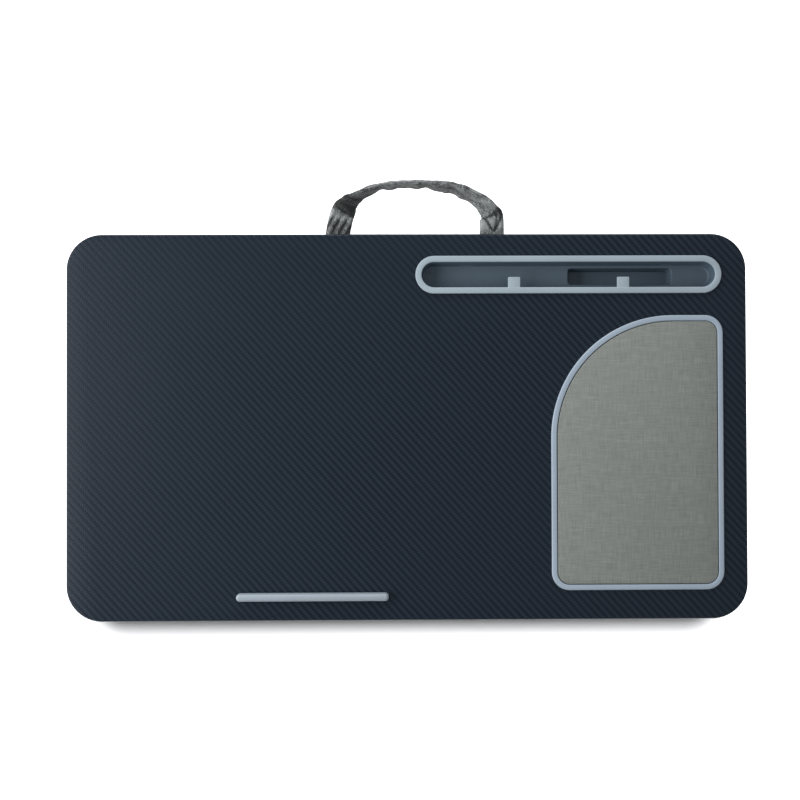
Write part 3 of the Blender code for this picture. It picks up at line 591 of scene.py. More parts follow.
barb_top = skin_low.z - SEAT_GAP
barbs = []
for side in (-1, 1):
    wall_y = side * (tray_high.y - tray_low.y) / 2 - side * (TRAY_RIM_WIDTH - TRAY_WALL)
    for end in (-1, 1):
        barb_x = tray_middle.x + end * BARB_SPACING / 2
        near = tray_middle.y + wall_y - side * 2 * TRAY_WALL
        tip = tray_middle.y + wall_y + side * BARB_TIP
        barb = slab(
            "tray_barb",
            (barb_x - BARB_LENGTH / 2, min(near, tip), barb_top - BARB_HEIGHT),
            (barb_x + BARB_LENGTH / 2, max(near, tip), barb_top),
        )
        round_off(
            barb,
            lambda edge: level_at(barb_top - BARB_HEIGHT)(edge)
            and all(abs(corner.co.y - tip) < SAME_PLACE for corner in edge.verts),
            BARB_HEIGHT - BARB_LIP,
            1,
        )
        leave_edit()
        barbs.append(barb)
carve(tray, barbs, "UNION")
smooth(tray)


def moulded_plastic(name, colour, shade, roughness, painted_shade_from=None):
    """Satin moulded plastic: faint flow marks in the colour and a fine spark-eroded grain.

    Below a given height the colour is painted darker and bluer: painted shade in a sunk part.
    """
    finish, place, shader = new_finish(name, roughness)
    grain = noise(finish, place, 2600, 2)
    flow = noise(finish, place, 35, 3, (0.5, 1, 1))
    rubbed = noise(finish, place, 240, 4)
    tone = tint(finish, colour, flow, 0.3, 0.7, shade)
    tone = tint(finish, tone, grain, 0.35, 0.65, shade, 0.12)
    # Painted shade: the tub below the rim is painted darker and bluer than the rim itself.
    if painted_shade_from is not None:
        up = split(finish, place)["Z"]
        painted_shade_to = painted_shade_from - TUB_SHADE_FADE
        tone = tint(finish, tone, up, painted_shade_from, painted_shade_to, (0.014, 0.040, 0.070), TUB_SHADE)
    feed(finish, tone, shader, "Base Color")
    polish = ramp(finish, rubbed, 0.3, 0.7, roughness - 0.05, roughness + 0.07)
    feed(finish, polish, shader, "Roughness")
    bump(finish, grain, 0.25, 0.00005, shader)
    return finish


# The tub's painted shade: how far below the rim it fades in, and how strong it is.
TUB_SHADE_FADE = 0.0008
TUB_SHADE = 0.82
tray_plastic = moulded_plastic(
    "tray_plastic", (0.375, 0.450, 0.505), (0.330, 0.402, 0.456), 0.56, tray_high.z - RIM_ROUNDING
)
tray.data.materials.append(tray_plastic)
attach(tray, "root")
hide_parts("device_tray")


# Mouse pad frame: a flat moulded ring in blue-grey plastic, with a leg all round that clips
# inside the recess of the board and hides the cut edge of the skin.
PAD_BAND = 0.0045
PAD_BAND_ROUNDING = 0.0009
PAD_LEG_WIDTH = 0.0015
PAD_OPENING_AREA = 0.015
ring = pad_block("pad_frame", 0, FITTING_BOTTOM, pad_high.z)
pick(ring, "FACE", facing(0, 0, 1))
bpy.ops.mesh.inset(thickness=PAD_BAND)
pick(ring, "FACE", facing(0, 0, -1))
bpy.ops.mesh.inset(thickness=PAD_BAND - PAD_LEG_WIDTH)
bpy.ops.mesh.inset(thickness=0, depth=FITTING_BOTTOM - pad_low.z)
bpy.ops.mesh.inset(thickness=PAD_LEG_WIDTH)
pick(
    ring, "FACE", lambda face: abs(face.normal.z) > SAME_WAY and face.calc_area() > PAD_OPENING_AREA
)
bpy.ops.mesh.delete(type="FACE")
pick(ring, "EDGE", open_edge)
bpy.ops.mesh.bridge_edge_loops()
round_off(ring, rim_of_top(pad_high.z), PAD_BAND_ROUNDING, 4)
leave_edit()
smooth(ring)
ring.data.materials.append(
    moulded_plastic("frame_plastic", (0.390, 0.465, 0.550), (0.350, 0.425, 0.510), 0.52)
)
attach(ring, "root")
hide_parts("mouse_pad_frame")


# Mouse pad: a sheet of closely woven cloth glued to a foam rubber backing in the board's recess.
# The cut edge of the cloth stands a little inside the frame and below its top.
PAD_CLOTH_INSET = 0.0050
PAD_CLOTH_ROUNDING = 0.0004
cloth_low, cloth_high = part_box("mouse_pad_cloth")
cloth = pad_block("pad_cloth", PAD_CLOTH_INSET, cloth_low.z, cloth_high.z)
round_off(cloth, level_at(cloth_high.z), PAD_CLOTH_ROUNDING, 3)
leave_edit()
smooth(cloth)


def plain_weave(finish, u, v):
    """From places counted in yarns: which of warp and weft lies on top, and how high it stands."""
    cell = calc(finish, "ADD", calc(finish, "FLOOR", u), calc(finish, "FLOOR", v))
    over = calc(finish, "LESS_THAN", calc(finish, "FLOORED_MODULO", cell, 2.0), 1.0)
    rise_u = hump(finish, calc(finish, "FRACT", u))
    rise_v = hump(finish, calc(finish, "FRACT", v))
    return over, calc(finish, "MULTIPLY", rise_u, rise_v)


PAD_YARN = 0.00055
pad_weave, place, shader = new_finish("pad_weave", 0.9)
x, y, z = split(pad_weave, place)
over, knots = plain_weave(
    pad_weave, calc(pad_weave, "DIVIDE", x, PAD_YARN), calc(pad_weave, "DIVIDE", y, PAD_YARN)
)
slubs_up = noise(pad_weave, place, 1000, 2, (1, 0.08, 1))
slubs_across = noise(pad_weave, place, 1000, 2, (0.08, 1, 1))
slubs = mix(pad_weave, over, slubs_up, slubs_across)
streaks = noise(pad_weave, place, 260, 3, (1, 0.12, 1))
bands = noise(pad_weave, place, 260, 3, (0.12, 1, 1))
colour = tint(pad_weave, (0.195, 0.214, 0.200), slubs, 0.32, 0.68, (0.338, 0.356, 0.328))
colour = tint(pad_weave, colour, streaks, 0.35, 0.65, (0.296, 0.305, 0.269), 0.30)
colour = tint(pad_weave, colour, bands, 0.35, 0.65, (0.215, 0.232, 0.223), 0.25)
# Painted shade: darker in the grooves between the yarns.
colour = tint(pad_weave, colour, knots, 0.5, 0.0, (0.10, 0.11, 0.10), 0.3)
feed(pad_weave, colour, shader, "Base Color")
shader.inputs["Sheen Weight"].default_value = 0.15
shader.inputs["Sheen Roughness"].default_value = 0.5
relief = calc(pad_weave, "ADD", knots, calc(pad_weave, "MULTIPLY", slubs, 0.5))
bump(pad_weave, relief, 0.5, 0.00012, shader)
cloth.data.materials.append(pad_weave)
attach(cloth, "root")
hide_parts("mouse_pad_cloth")

rubber, place, shader = new_finish("foam_rubber", 0.9)
cells = noise(rubber, place, 1800, 3)
colour = tint(rubber, (0.012, 0.012, 0.012), cells, 0.35, 0.65, (0.040, 0.040, 0.038))
feed(rubber, colour, shader, "Base Color")
bump(rubber, cells, 0.4, 0.0001, shader)
coat(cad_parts["mouse_pad_backing"], rubber)


# Device ledge: a moulded bar with a soft round top that stops a laptop or tablet from sliding
# off. Two pegs under it stand in the board and take screws from below.
LEDGE_TOP_ROUNDING = 0.0022
SCREW_BORE_RADIUS = 0.0015
SCREW_BORE_DEPTH = 0.0055
PEG_ROOT = 0.003
bar = obround("ledge_bar", (*ledge_low.xy, FITTING_BOTTOM), ledge_high, 12)
round_off(bar, level_at(ledge_high.z), LEDGE_TOP_ROUNDING, 7)
leave_edit()
peg_top = FITTING_BOTTOM + PEG_ROOT
carve(bar, [peg("ledge_peg", x, PEG_RADIUS, ledge_low.z, peg_top) for x in peg_xs], "UNION")
bore_bottom = ledge_low.z - CUT_OVERRUN
bore_top = ledge_low.z + SCREW_BORE_DEPTH
carve(bar, [peg("screw_bore", x, SCREW_BORE_RADIUS, bore_bottom, bore_top) for x in peg_xs])
smooth(bar)
bar.data.materials.append(
    moulded_plastic("ledge_plastic", (0.33, 0.38, 0.43), (0.29, 0.34, 0.39), 0.52)
)
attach(bar, "root")
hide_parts("device_ledge")


# Carry strap: a band of heathered cloth, folded double and sewn along both edges. Its ends lie
# flat under the board, and between them the loop turns on edge, with folds where the turn starts.
STRAP_WIDTH = 0.0195
STRAP_THICKNESS = 0.0040
STRAP_STATIONS = 460
STRAP_ACROSS = 37
STRAP_EDGE_STEPS = 5
STRAP_EASE = 9
TURN_EASE = 3
STRAP_SMOOTH_ANGLE = math.radians(60)
strap_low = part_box("handle_strap")[0]
left_low, left_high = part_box("handle_end_left")
right_low, right_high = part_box("handle_end_right")
left_x = (left_low.x + left_high.x) / 2
right_x = (right_low.x + right_high.x) / 2
strap_z = (left_low.z + left_high.z) / 2
hinge_y = strap_low.y + STRAP_THICKNESS / 2

# The middle line of the band: across, away from the board's back edge, and how far the band has
# turned on edge, in degrees.
STRAP_ROUTE = (
    (-0.0551, 0.0000, 0),
    (-0.0536, 0.0072, 0),
    (-0.0516, 0.0148, 0),
    (-0.0506, 0.0168, 6),
    (-0.0490, 0.0192, 24),
    (-0.0464, 0.0226, 42),
    (-0.0428, 0.0260, 62),
    (-0.0376, 0.0296, 78),
    (-0.0306, 0.0335, 87),
    (-0.0222, 0.0364, 90),
    (-0.0135, 0.0383, 90),
    (-0.0049, 0.0389, 90),
    (0.0108, 0.0389, 90),
    (0.0220, 0.0381, 85),
    (0.0338, 0.0363, 75),
    (0.0450, 0.0329, 72),
    (0.0523, 0.0292, 72),
    (0.0596, 0.0241, 62),
    (0.0646, 0.0191, 52),
    (0.0673, 0.0147, 40),
    (0.0678, 0.0122, 12),
    (0.0679, 0.0098, 4),
    (0.0681, 0.0000, 0),
)
stations = [(left_x, left_low.y, 0)]
stations += [(x, hinge_y + away, turn) for x, away, turn in STRAP_ROUTE]
stations = np.array([*stations, (right_x, left_low.y, 0)])


def run_along(points):
    """How far along a line each of its points lies."""
    steps = np.linalg.norm(np.diff(points[:, :2], axis=0), axis=1)
    return np.concatenate(([0], np.cumsum(steps)))


spans = run_along(stations)
places = np.linspace(0, spans[-1], STRAP_STATIONS)
tail = hinge_y - left_low.y
loop_length = spans[-1] - 2 * tail


def eased(values, reach):
    """Rounds the corners of a run of values off, and leaves its two ends where they are."""
    kernel = np.hanning(2 * reach + 3)[1:-1]
    longer = np.pad(values, reach, "reflect", reflect_type="odd")
    return np.convolve(longer, kernel / kernel.sum(), "valid")


line = np.column_stack(
    [eased(np.interp(places, spans, stations[:, axis]), STRAP_EASE) for axis in (0, 1)]
)
twist = np.radians(eased(np.interp(places, spans, stations[:, 2]), TURN_EASE))
heading = np.gradient(line, axis=0)
heading /= np.linalg.norm(heading, axis=1)[:, None]


def bell(value, middle, width):
    return math.exp(-(((value - middle) / width) ** 2))


def pleat(phase):
    """A row of soft ridges with sharp valleys between them, from -1 in a valley to 0 on a ridge."""
    return abs(math.sin(phase)) ** 1.1 - 1


# Creases across the band: how deep, how far from the leg, how far it shifts from the middle to
# an edge, and how wide.
LEFT_CREASES = (
    (0.0011, 0.0185, 0.0008, 0.0016),
    (0.0007, 0.0245, -0.0030, 0.0016),
    (0.0006, 0.0330, -0.0060, 0.0022),
)
RIGHT_CREASES = ((0.0012, 0.0136, 0.0014, 0.0015),)

# Pleats at the left leg and slack folds along the loop: how high, how far from the leg and how
# long, and then the pleats' count across the band, their slant along it and their start.
LEFT_PLEATS = ((0.0017, 0.005, 0.0085, 5.4, 170, 0.9), (0.0007, 0.047, 0.012, 2.6, 95, 0))
RIGHT_PLEATS = (
    (0.0007, 0.030, 0.010, 3.4, 120, 0),
    (0.0008, 0.052, 0.013, 3.0, -85, 0.6),
    (0.0006, 0.075, 0.010, 2.6, -100, 0),
)

# The V at the right leg: how deep, where it is on the band at the leg, how it slants and how wide.
V_FOLDS = ((0.0014, 0.16, -58, 0.13), (0.0012, 0.16, 56, 0.13), (0.0008, 0.20, 25, 0.10))
V_LENGTH = 0.016
V_FADE = 0.003


def fold(from_left, across):
    """How far the band bulges through its own plane: pleats at the legs, creases in the turns."""
    from_right = loop_length - from_left
    depth = 0
    for from_leg, creases, pleats in (
        (from_left, LEFT_CREASES, LEFT_PLEATS),
        (from_right, RIGHT_CREASES, RIGHT_PLEATS),
    ):
        for deep, start, shift, width in creases:
            depth -= deep * bell(from_leg, start + shift * across, width)
        for high, start, reach, count, slant, phase in pleats:
            ridges = pleat(count * across + slant * from_leg + phase)
            depth += high * bell(from_leg, start, reach) * ridges
    if 0 < from_right < V_LENGTH:
        open_out = min(1, from_right / V_FADE) * min(1, (V_LENGTH - from_right) / V_FADE)
        for deep, start, slant, width in V_FOLDS:
            depth -= deep * open_out * bell(across, start + slant * from_right, width)
    return depth


CRUMPLE_DEPTH = 0.00045
CRUMPLE_GRAIN = 0.0042
CRUMPLE_FADE = 0.003


def crumple(from_left, across):
    """The small uneven dents of soft cloth, which fade out at the loop's two ends."""
    fade = min(1, max(0, min(from_left, loop_length - from_left) / CRUMPLE_FADE))
    place = Vector((from_left / CRUMPLE_GRAIN, across * 2.4, 7))
    return CRUMPLE_DEPTH * fade * gradient_noise(place)


# Painted shade and painted highlight in the band's colour: how much darker, or lighter under 0,
# how far from the leg or from the band's middle, and how wide. The right leg's own painted
# highlight grows towards the inner edge of the loop.
FULL_SHADE_BULGE = 0.0009
LEFT_SHADES = ((0.9, 0.0225, 0.0048), (0.35, 0.033, 0.008), (-0.5, 0.0125, 0.0035))
RIGHT_SHADES = ((-0.35, 0.030, 0.012),)
ACROSS_SHADES = ((-0.3, 0.9, 0.35),)
RIGHT_LEG_SHADE = (-1.1, 0.0075, 0.006)
RIGHT_LEG_SPREAD = 1.4


def painted_fold_shade(from_left, across, bulge):
    """Painted shade for the colour, deepest in a fold's valley: over 0 darker, under 0 a painted
    highlight.
    """
    from_right = loop_length - from_left
    depth = -bulge / FULL_SHADE_BULGE
    for where, shades in (
        (from_left, LEFT_SHADES),
        (from_right, RIGHT_SHADES),
        (across, ACROSS_SHADES),
    ):
        for share, middle, width in shades:
            depth += share * bell(where, middle, width)
    share, middle, width = RIGHT_LEG_SHADE
    return depth + share * bell(from_right, middle, width) * (RIGHT_LEG_SPREAD - across) / 2


# The band's cross-section: two flat faces and two edges a little slimmer than half round.
half_width = STRAP_WIDTH / 2
half_thick = STRAP_THICKNESS / 2
flat_half = half_width - half_thick
half_section = [(flat_half * share, half_thick) for share in np.linspace(1, -1, STRAP_ACROSS)]
for angle in np.linspace(0.5, 1.5, STRAP_EDGE_STEPS + 2)[1:-1] * math.pi:
    slim = 0.9 - 0.2 * abs(math.cos(angle))
    half_section.append(
        (-flat_half + half_thick * math.cos(angle), half_thick * math.sin(angle) * slim)
    )
section = half_section + [(-wide, -thick) for wide, thick in half_section]
around = len(section)

# Where the band stands on edge one of its faces is wavy, and it thins out towards both edges.
FACE_WAVE_HEIGHT = 0.0005
FACE_WAVES = ((1.0, 0.0031, 0), (0.7, 0.0019, 1.0))
EDGE_PINCH = 0.25
bpy.ops.mesh.primitive_grid_add(x_subdivisions=around, y_subdivisions=STRAP_STATIONS - 1, size=1)
strap = bpy.context.object
strap.name = "carry_strap"
up = Vector((0, 0, 1))
painted_shades = []
for index, point in enumerate(strap.data.vertices):
    station, column = divmod(index, around + 1)
    wide, thick = section[column % around]
    out = Vector((-heading[station][1], heading[station][0], 0))
    angle = twist[station]
    across_way = out * math.cos(angle) + up * math.sin(angle)
    thick_way = up * math.cos(angle) - out * math.sin(angle)
    from_left = places[station] - tail
    across = wide / half_width
    bulge = fold(from_left, across)
    painted_shades.append(painted_fold_shade(from_left, across, bulge))
    on_edge = math.sin(angle) ** 4
    waves = sum(high * math.sin(from_left / reach + phase) for high, reach, phase in FACE_WAVES)
    wave = FACE_WAVE_HEIGHT * on_edge * waves if thick > 0 else 0
    pinch = 1 - EDGE_PINCH * min(1, abs(across)) ** 6
    point.co = (
        Vector((*line[station], strap_z))
        + across_way * (wide + crumple(from_left + 0.05, across) * on_edge)
        + thick_way * (thick * pinch + bulge + crumple(from_left, across) + wave)
    )
# Painted shade and highlight for each point, kept on the mesh for the band's colour.
painted_shade_mark = strap.data.attributes.new("painted_shade_of_folds", "FLOAT", "POINT")
painted_shade_mark.data.foreach_set("value", painted_shades)
only(strap)
bpy.ops.object.mode_set(mode="EDIT")
bpy.ops.mesh.select_all(action="SELECT")
bpy.ops.mesh.remove_doubles(threshold=SAME_PLACE)
bpy.ops.mesh.select_all(action="DESELECT")
bpy.ops.mesh.select_non_manifold()
bpy.ops.mesh.edge_face_add()
bpy.ops.mesh.select_all(action="SELECT")
bpy.ops.mesh.normals_make_consistent(inside=False)
leave_edit()


MOTTLE_LENGTH = 3.5
ROW_SHIFT = 7.31
COLUMN_SHIFT = 9.17


def heather(finish, u, v, yarn, dark, middle, light):
    """Mottled cloth: short lengths of dark and pale yarn in a plain weave. Colour and height."""
    u_count = calc(finish, "DIVIDE", u, yarn)
    v_count = calc(finish, "DIVIDE", v, yarn)
    over, knots = plain_weave(finish, u_count, v_count)
    mottles = []
    for count, shift, along in ((v_count, ROW_SHIFT, u), (u_count, COLUMN_SHIFT, v)):
        own_row = calc(finish, "MULTIPLY", calc(finish, "FLOOR", count), shift)
        length = calc(finish, "DIVIDE", along, yarn * MOTTLE_LENGTH)
        spot = add(finish, "CombineXYZ", {0: own_row, 1: length})
        mottles.append(add(finish, "TexNoise", {"Vector": spot, "Scale": 1.0, "Detail": 1.0}))
    tone = mix(finish, over, *mottles)
    colour = tint(finish, dark, tone, 0.34, 0.50, middle)
    return tint(finish, colour, tone, 0.52, 0.64, light), knots


STRAP_YARN = 0.0008
strap_cloth, place, shader = new_finish("heathered_strap", 0.92)
add(strap_cloth, "UVMap")
own_map = strap_cloth.node_tree.nodes[-1].outputs["UV"]
u, v = split(strap_cloth, own_map)[:2]
girth = 2 * (STRAP_WIDTH + STRAP_THICKNESS)
round_strap = calc(strap_cloth, "MULTIPLY", u, girth)
along_strap = calc(strap_cloth, "MULTIPLY", v, float(spans[-1]))
colour, knots = heather(
    strap_cloth,
    round_strap,
    along_strap,
    STRAP_YARN,
    (0.018, 0.021, 0.022),
    (0.085, 0.095, 0.095),
    (0.42, 0.44, 0.43),
)
worn = noise(strap_cloth, place, 120, 3)
add(strap_cloth, "Attribute", attribute_name="painted_shade_of_folds")
valley = strap_cloth.node_tree.nodes[-1].outputs["Fac"]
strip = add(strap_cloth, "CombineXYZ", {0: round_strap, 1: along_strap})
streaks = noise(strap_cloth, strip, 1500, 2, (1, 0.1, 1))
# Random wear and streaks, then painted shade in the folds' valleys and painted highlights.
for value, low, high, other, share in (
    (worn, 0.35, 0.7, (0.07, 0.075, 0.075), 0.3),
    (streaks, 0.46, 0.66, (0.34, 0.36, 0.36), 0.45),
    (streaks, 0.50, 0.34, (0.020, 0.022, 0.023), 0.62),
    (valley, 0.1, 0.9, (0.009, 0.010, 0.010), 0.85),
    (valley, 0.0, -0.8, (0.50, 0.53, 0.52), 0.6),
):
    colour = tint(strap_cloth, colour, value, low, high, other, share)
feed(strap_cloth, colour, shader, "Base Color")
shader.inputs["Specular IOR Level"].default_value = 0.35
shader.inputs["Sheen Weight"].default_value = 0.25
shader.inputs["Sheen Roughness"].default_value = 0.5
bump(strap_cloth, knots, 0.7, 0.0003, shader)
smooth(strap, STRAP_SMOOTH_ANGLE)
strap.data.materials.append(strap_cloth)
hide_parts("handle_strap", "handle_end_left", "handle_end_right")
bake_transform(strap)


# Bolsters: two cushions under the board. Each is a sewn cover of dark heathered cloth, open at
# the top, around a bag of beads. A flange along its top edge is stapled to the board.
BAG_START_INSET = 0.012
BAG_START_BOTTOM = 0.005
BAG_START_CORNER = 0.028
BAG_START_TURN = 0.018
BAG_VOXEL = 0.005
BAG_PUFF_LIMIT = 0.012
BAG_PRESSURE = 4
SIM_STEPS = 20
HELD_BAND = 0.004
COVER_THICKNESS = 0.001
FLANGE_THICKNESS = 0.0012
FLANGE_WIDTH = 0.015
FLANGE_CORNER = 0.038
SEAM_HEIGHT = 0.017
PIPING_RADIUS = 0.0016
PIPING_POINTS = 240
PIPING_PROUD = 0.3
PIPING_SEARCH = 0.02
PIPING_SMOOTH_ANGLE = math.radians(70)
PUCKER_DEPTH = 0.0009
PUCKER_FADE = 0.009
PUCKERS = ((1.0, 0.0137, 1.3), (0.8, 0.0221, 0.4), (0.6, 0.0353, 0))
SEAM_GROOVE = 0.0012
SEAM_GROOVE_WIDTH = 0.003
SOFT_ANGLE = math.radians(50)
ROOM_GAP = 0.0005


def blow_up(piece, held, pressure, limit):
    """Blows a closed form up like a filled bag, while the points that a test picks stay put."""
    only(piece)
    group = piece.vertex_groups.new(name="held")
    group.add([point.index for point in piece.data.vertices if held(point.co)], 1.0, "REPLACE")
    before = [point.co.copy() for point in piece.data.vertices]
    fabric = piece.modifiers.new("cloth", "CLOTH")
    fabric.settings.vertex_group_mass = "held"
    fabric.settings.use_pressure = True
    fabric.settings.uniform_pressure_force = pressure
    fabric.settings.effector_weights.gravity = 0
    for moment in range(1, SIM_STEPS + 1):
        bpy.context.scene.frame_set(moment)
    bpy.ops.object.modifier_apply(modifier=fabric.name)
    bpy.context.scene.frame_set(1)
    for point, start in zip(piece.data.vertices, before):
        move = point.co - start
        point.co = start + move * min(1, limit / max(move.length, 1e-9))
    piece.vertex_groups.clear()


def stuffed(name, low, high, corner, turn, voxel, held_from, pressure, limit):
    """A stuffed form between two corners, blown up from a rounded block and set in that space."""
    piece = slab(name, low[0], low[1])
    round_off(piece, upright, corner, 8)
    round_off(piece, level_at(low[0][2]), turn, 6)
    leave_edit()
    apply(piece, "REMESH", mode="VOXEL", voxel_size=voxel)
    blow_up(piece, lambda place: place.z > held_from, pressure, limit)
    places = np.array([point.co for point in piece.data.vertices])
    places[:, 2] = np.clip(places[:, 2], high[0].z, low[1][2])
    for axis in (0, 1):
        least, most = places[:, axis].min(), places[:, axis].max()
        share = (places[:, axis] - least) / (most - least)
        places[:, axis] = high[0][axis] + share * (high[1][axis] - high[0][axis])
    piece.data.vertices.foreach_set("co", places.ravel())
    return piece


cover_low, cover_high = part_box("bolster_cover_right")
cover_middle = (cover_low + cover_high) / 2
cover_half = (cover_high - cover_low) / 2
flange_bottom = cover_high.z - FLANGE_THICKNESS
form = stuffed(
    "bolster_form",
    (
        (cover_low.x + BAG_START_INSET, cover_low.y + BAG_START_INSET, BAG_START_BOTTOM),
        (cover_high.x - BAG_START_INSET, cover_high.y - BAG_START_INSET, flange_bottom),
    ),
    (cover_low, cover_high),
    BAG_START_CORNER,
    BAG_START_TURN,
    BAG_VOXEL,
    flange_bottom - HELD_BAND,
    BAG_PRESSURE,
    BAG_PUFF_LIMIT,
)
apply(form, "SUBSURF", levels=1, render_levels=1)


def round_outline(middle, half, corner, count):
    """Points at even steps round a rectangle with round corners, each with its way out."""
    sides = []
    for end_x, end_y, start in ((1, 1, 0), (-1, 1, 0.5), (-1, -1, 1), (1, -1, 1.5)):
        for turn_share in np.linspace(0, 0.5, 17):
            angle = (start + turn_share) * math.pi
            out = np.array((math.cos(angle), math.sin(angle)))
            centre_x = middle.x + end_x * (half.x - corner)
            centre_y = middle.y + end_y * (half.y - corner)
            sides.append(np.concatenate((np.array((centre_x, centre_y)) + out * corner, out)))
    sides.append(sides[0])
    sides = np.array(sides)
    run = run_along(sides)
    wanted = np.linspace(0, run[-1], count, endpoint=False)
    points = np.column_stack([np.interp(wanted, run, sides[:, column]) for column in range(4)])
    return points, run[-1]


outline, girth_length = round_outline(cover_middle, cover_half, FLANGE_CORNER, 720)
normals = [point.normal.copy() for point in form.data.vertices]
for point, normal in zip(form.data.vertices, normals):
    place = point.co
    nearest = np.argmin((outline[:, 0] - place.x) ** 2 + (outline[:, 1] - place.y) ** 2)
    run = nearest / len(outline) * girth_length
    wave = sum(high * math.sin(run * 2 * math.pi / pitch + phase) for high, pitch, phase in PUCKERS)
    pucker = PUCKER_DEPTH * wave * math.exp(-abs(place.z - SEAM_HEIGHT) / PUCKER_FADE)
    groove = SEAM_GROOVE * bell(place.z, SEAM_HEIGHT, SEAM_GROOVE_WIDTH)
    moved = place + normal * (math.hypot(normal.x, normal.y) * (pucker - groove))
    point.co.x = min(max(moved.x, cover_low.x), cover_high.x)
    point.co.y = min(max(moved.y, cover_low.y), cover_high.y)
    point.co.z = max(moved.z, cover_low.z)


def copy_of(piece, name):
    twin = piece.copy()
    twin.data = piece.data.copy()
    twin.name = name
    bpy.context.scene.collection.objects.link(twin)
    return twin


def tray_rooms():
    """The space that the tray needs below the board, as two shapes to cut away."""
    inset = TRAY_RIM_WIDTH - TRAY_WALL - ROOM_GAP * 3
    tub = obround("tub_room", *grown(tray_low, tray_high, -inset, tub_bottom - ROOM_GAP, hole_top))
    leave_edit()
    sunk = pocket_block("sunk_room", TRAY_WALL + ROOM_GAP, tray_low.z - ROOM_GAP, tub_bottom)
    leave_edit()
    return [tub, sunk]


def cover_weave(name, yarn, dark, middle, light):
    """Heathered upholstery cloth with a plain weave that needs no unwrapping."""
    finish, place, shader = new_finish(name, 0.95)
    x, y, z = split(finish, place)
    slant_x = calc(finish, "ADD", x, calc(finish, "MULTIPLY", z, 0.9))
    slant_y = calc(finish, "ADD", y, calc(finish, "MULTIPLY", z, 0.8))
    colour, knots = heather(finish, slant_x, slant_y, yarn, dark, middle, light)
    feed(finish, colour, shader, "Base Color")
    shader.inputs["Sheen Weight"].default_value = 0.2
    shader.inputs["Sheen Roughness"].default_value = 0.5
    bump(finish, knots, 0.5, 0.0003, shader)
    return finish


cover_cloth = cover_weave(
    "cover_cloth", 0.0009, (0.020, 0.023, 0.026), (0.045, 0.050, 0.055), (0.11, 0.12, 0.125)
)
lining = cover_weave(
    "bag_cloth", 0.0006, (0.42, 0.41, 0.38), (0.52, 0.51, 0.48), (0.62, 0.61, 0.58)
)
cord, place, shader = new_finish("piping_cloth", 0.9)
twisted = noise(cord, place, 900, 2, (1, 1, 0.4))
colour = tint(cord, (0.016, 0.018, 0.020), twisted, 0.35, 0.65, (0.045, 0.05, 0.053))
feed(cord, colour, shader, "Base Color")
bump(cord, twisted, 0.5, 0.0002, shader)

for side, end in (("left", -1), ("right", 1)):
    shift = Matrix.Identity(4)
    if end < 0:
        centre = Vector((cover_middle.x, cover_middle.y, 0))
        shift = (
            Matrix.Translation((-2 * cover_middle.x, 0, 0))
            @ Matrix.Translation(centre)
            @ Matrix.Rotation(math.pi, 4, "Z")
            @ Matrix.Translation(-centre)
        )
    bag = copy_of(form, f"bead_bag_{side}")
    bag.data.transform(shift)
    shell = copy_of(bag, f"bolster_cover_cloth_{side}")
    for point, normal in zip(bag.data.vertices, [p.normal.copy() for p in bag.data.vertices]):
        point.co -= normal * (COVER_THICKNESS + ROOM_GAP)
    if end > 0:
        carve(bag, tray_rooms())
    smooth(bag, SOFT_ANGLE)
    bag.data.materials.append(lining)
    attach(bag, "root")
    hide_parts(f"inner_bag_{side}")

    only(shell)
    bpy.ops.object.mode_set(mode="EDIT")
    pick(
        shell,
        "FACE",
        lambda face: face.normal.z > 0.9
        and face.calc_center_median().z > flange_bottom - COVER_THICKNESS,
    )
    bpy.ops.mesh.delete(type="FACE")
    leave_edit()
    apply(shell, "SOLIDIFY", thickness=COVER_THICKNESS, offset=-1)
    flange_low, flange_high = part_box(f"bolster_cover_{side}")
    flange = slab("cover_flange", (*flange_low.xy, flange_bottom), flange_high)
    round_off(flange, upright, FLANGE_CORNER, 12)
    pick(flange, "FACE", lambda face: abs(face.normal.z) > SAME_WAY)
    bpy.ops.mesh.inset(thickness=FLANGE_WIDTH)
    bpy.ops.mesh.delete(type="FACE")
    pick(flange, "EDGE", open_edge)
    bpy.ops.mesh.bridge_edge_loops()
    leave_edit()
    if end > 0:
        carve(shell, tray_rooms())
        carve(flange, tray_rooms())
    only(shell)
    flange.select_set(True)
    bpy.ops.object.join()
    smooth(shell, SOFT_ANGLE)
    shell.data.materials.append(cover_cloth)
    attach(shell, "root")
    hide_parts(f"bolster_cover_{side}")

    skin_of_form = BVHTree.FromObject(bag, bpy.context.evaluated_depsgraph_get())
    route_points = []
    for x, y, out_x, out_y in round_outline(
        cover_middle, cover_half, FLANGE_CORNER, PIPING_POINTS
    )[0]:
        start = Vector((x + (end - 1) * cover_middle.x, y, SEAM_HEIGHT))
        out = Vector((out_x, out_y, 0)).normalized()
        hit = skin_of_form.ray_cast(start + out * PIPING_SEARCH, -out)[0]
        proud = COVER_THICKNESS + ROOM_GAP + PIPING_RADIUS * PIPING_PROUD
        route_points.append(hit + out * proud)
    loop = bpy.data.curves.new("piping", "CURVE")
    loop.dimensions = "3D"
    loop.bevel_depth = PIPING_RADIUS
    loop.bevel_resolution = 2
    spline = loop.splines.new("POLY")
    spline.points.add(len(route_points) - 1)
    for point, at in zip(spline.points, route_points):
        point.co = (*at, 1)
    spline.use_cyclic_u = True
    piping = bpy.data.objects.new(f"seam_piping_{side}", loop)
    bpy.context.scene.collection.objects.link(piping)
    only(piping)
    bpy.ops.object.convert(target="MESH")
    smooth(piping, PIPING_SMOOTH_ANGLE)
    piping.data.materials.append(cord)
    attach(piping, "root")
remove_after([form])


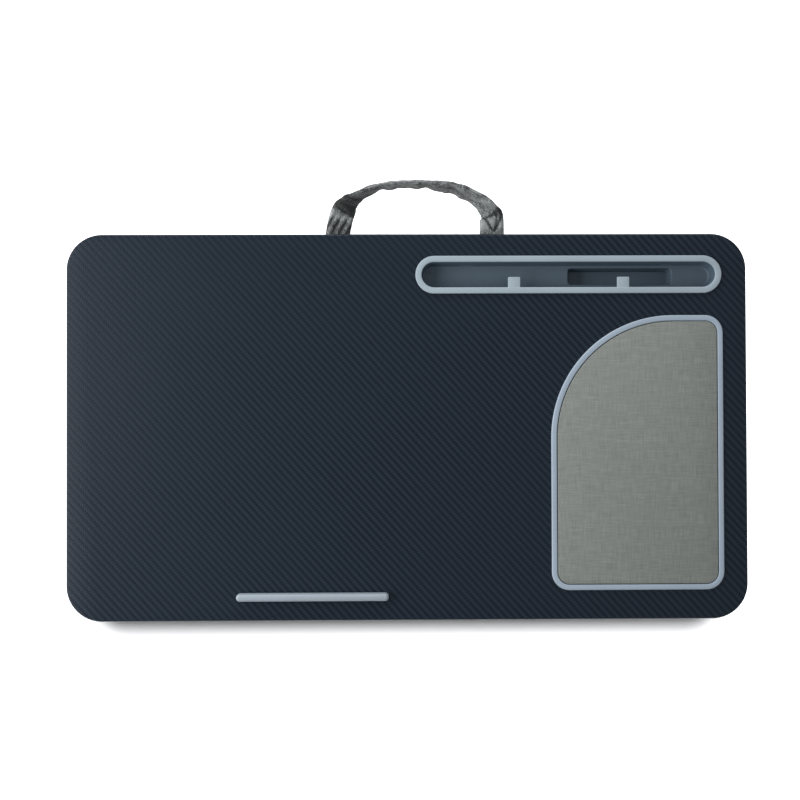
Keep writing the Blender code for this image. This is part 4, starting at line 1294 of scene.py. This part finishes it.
# Centre panel: a thin quilted pad between the bolsters. Rows of stitches draw the cloth up to
# the board, and its upper side is cut away over the strap's ends and the tray.
PANEL_START_INSET = 0.005
PANEL_START_BOTTOM = 0.0445
PANEL_START_CORNER = 0.008
PANEL_START_TURN = 0.004
PANEL_VOXEL = 0.004
PANEL_PUFF_LIMIT = 0.006
PANEL_ROWS = 6
PANEL_ROW_DEPTH = 0.004
PANEL_ROW_WIDTH = 0.004
PANEL_TOP_KEPT = 0.4
GATHER_SHARE = 0.15
GATHER_PITCH = 0.011
panel_low, panel_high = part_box("centre_panel")
panel = stuffed(
    "quilted_panel",
    (
        (panel_low.x + PANEL_START_INSET, panel_low.y + PANEL_START_INSET, PANEL_START_BOTTOM),
        (panel_high.x - PANEL_START_INSET, panel_high.y - PANEL_START_INSET, panel_high.z),
    ),
    (panel_low, panel_high),
    PANEL_START_CORNER,
    PANEL_START_TURN,
    PANEL_VOXEL,
    panel_high.z - HELD_BAND / 2,
    BAG_PRESSURE,
    PANEL_PUFF_LIMIT,
)
apply(panel, "SUBSURF", levels=1, render_levels=1)
row_ys = np.linspace(panel_low.y, panel_high.y, PANEL_ROWS + 2)[1:-1]
bottom_now = min(point.co.z for point in panel.data.vertices)
for point in panel.data.vertices:
    down = (panel_high.z - point.co.z) / (panel_high.z - bottom_now)
    low_share = min(1, max(0, down * (1 + PANEL_TOP_KEPT) - PANEL_TOP_KEPT))
    dip = max(math.exp(-abs(point.co.y - y) / PANEL_ROW_WIDTH) for y in row_ys)
    gather = 1 + GATHER_SHARE * math.sin(point.co.x * 2 * math.pi / GATHER_PITCH)
    point.co.z += low_share * PANEL_ROW_DEPTH * dip * gather
strap_rooms = []
for end_name in ("left", "right"):
    room_low, room_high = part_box(f"handle_end_{end_name}")
    strap_rooms.append(
        slab(
            "strap_room",
            (room_low.x - ROOM_GAP, room_low.y - ROOM_GAP, room_low.z - ROOM_GAP * 3),
            (room_high.x + ROOM_GAP, panel_high.y + CUT_OVERRUN, hole_top),
        )
    )
    leave_edit()
carve(panel, [*strap_rooms, *tray_rooms()])
smooth(panel, SOFT_ANGLE)
panel.data.materials.append(cover_cloth)
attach(panel, "root")
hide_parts("centre_panel")


# Staples and screws: bright wire staples hold the covers and the strap's ends to the core, and
# two plated screws come up through the core into the ledge's pegs.
for name, bright, dull, roughness in (
    ("staple", (0.62, 0.62, 0.60), (0.45, 0.45, 0.44), 0.32),
    ("ledge_screw", (0.50, 0.49, 0.46), (0.34, 0.33, 0.31), 0.38),
):
    steel, place, shader = new_finish(f"{name}_steel", roughness, 1.0)
    drawn = noise(steel, place, 1500, 2, (1, 1, 0.1))
    feed(steel, tint(steel, bright, drawn, 0.35, 0.65, dull), shader, "Base Color")
    polish = ramp(steel, drawn, 0.3, 0.7, roughness - 0.06, roughness + 0.12)
    feed(steel, polish, shader, "Roughness")
    for node_name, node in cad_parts.items():
        if name in node_name:
            coat(node, steel)
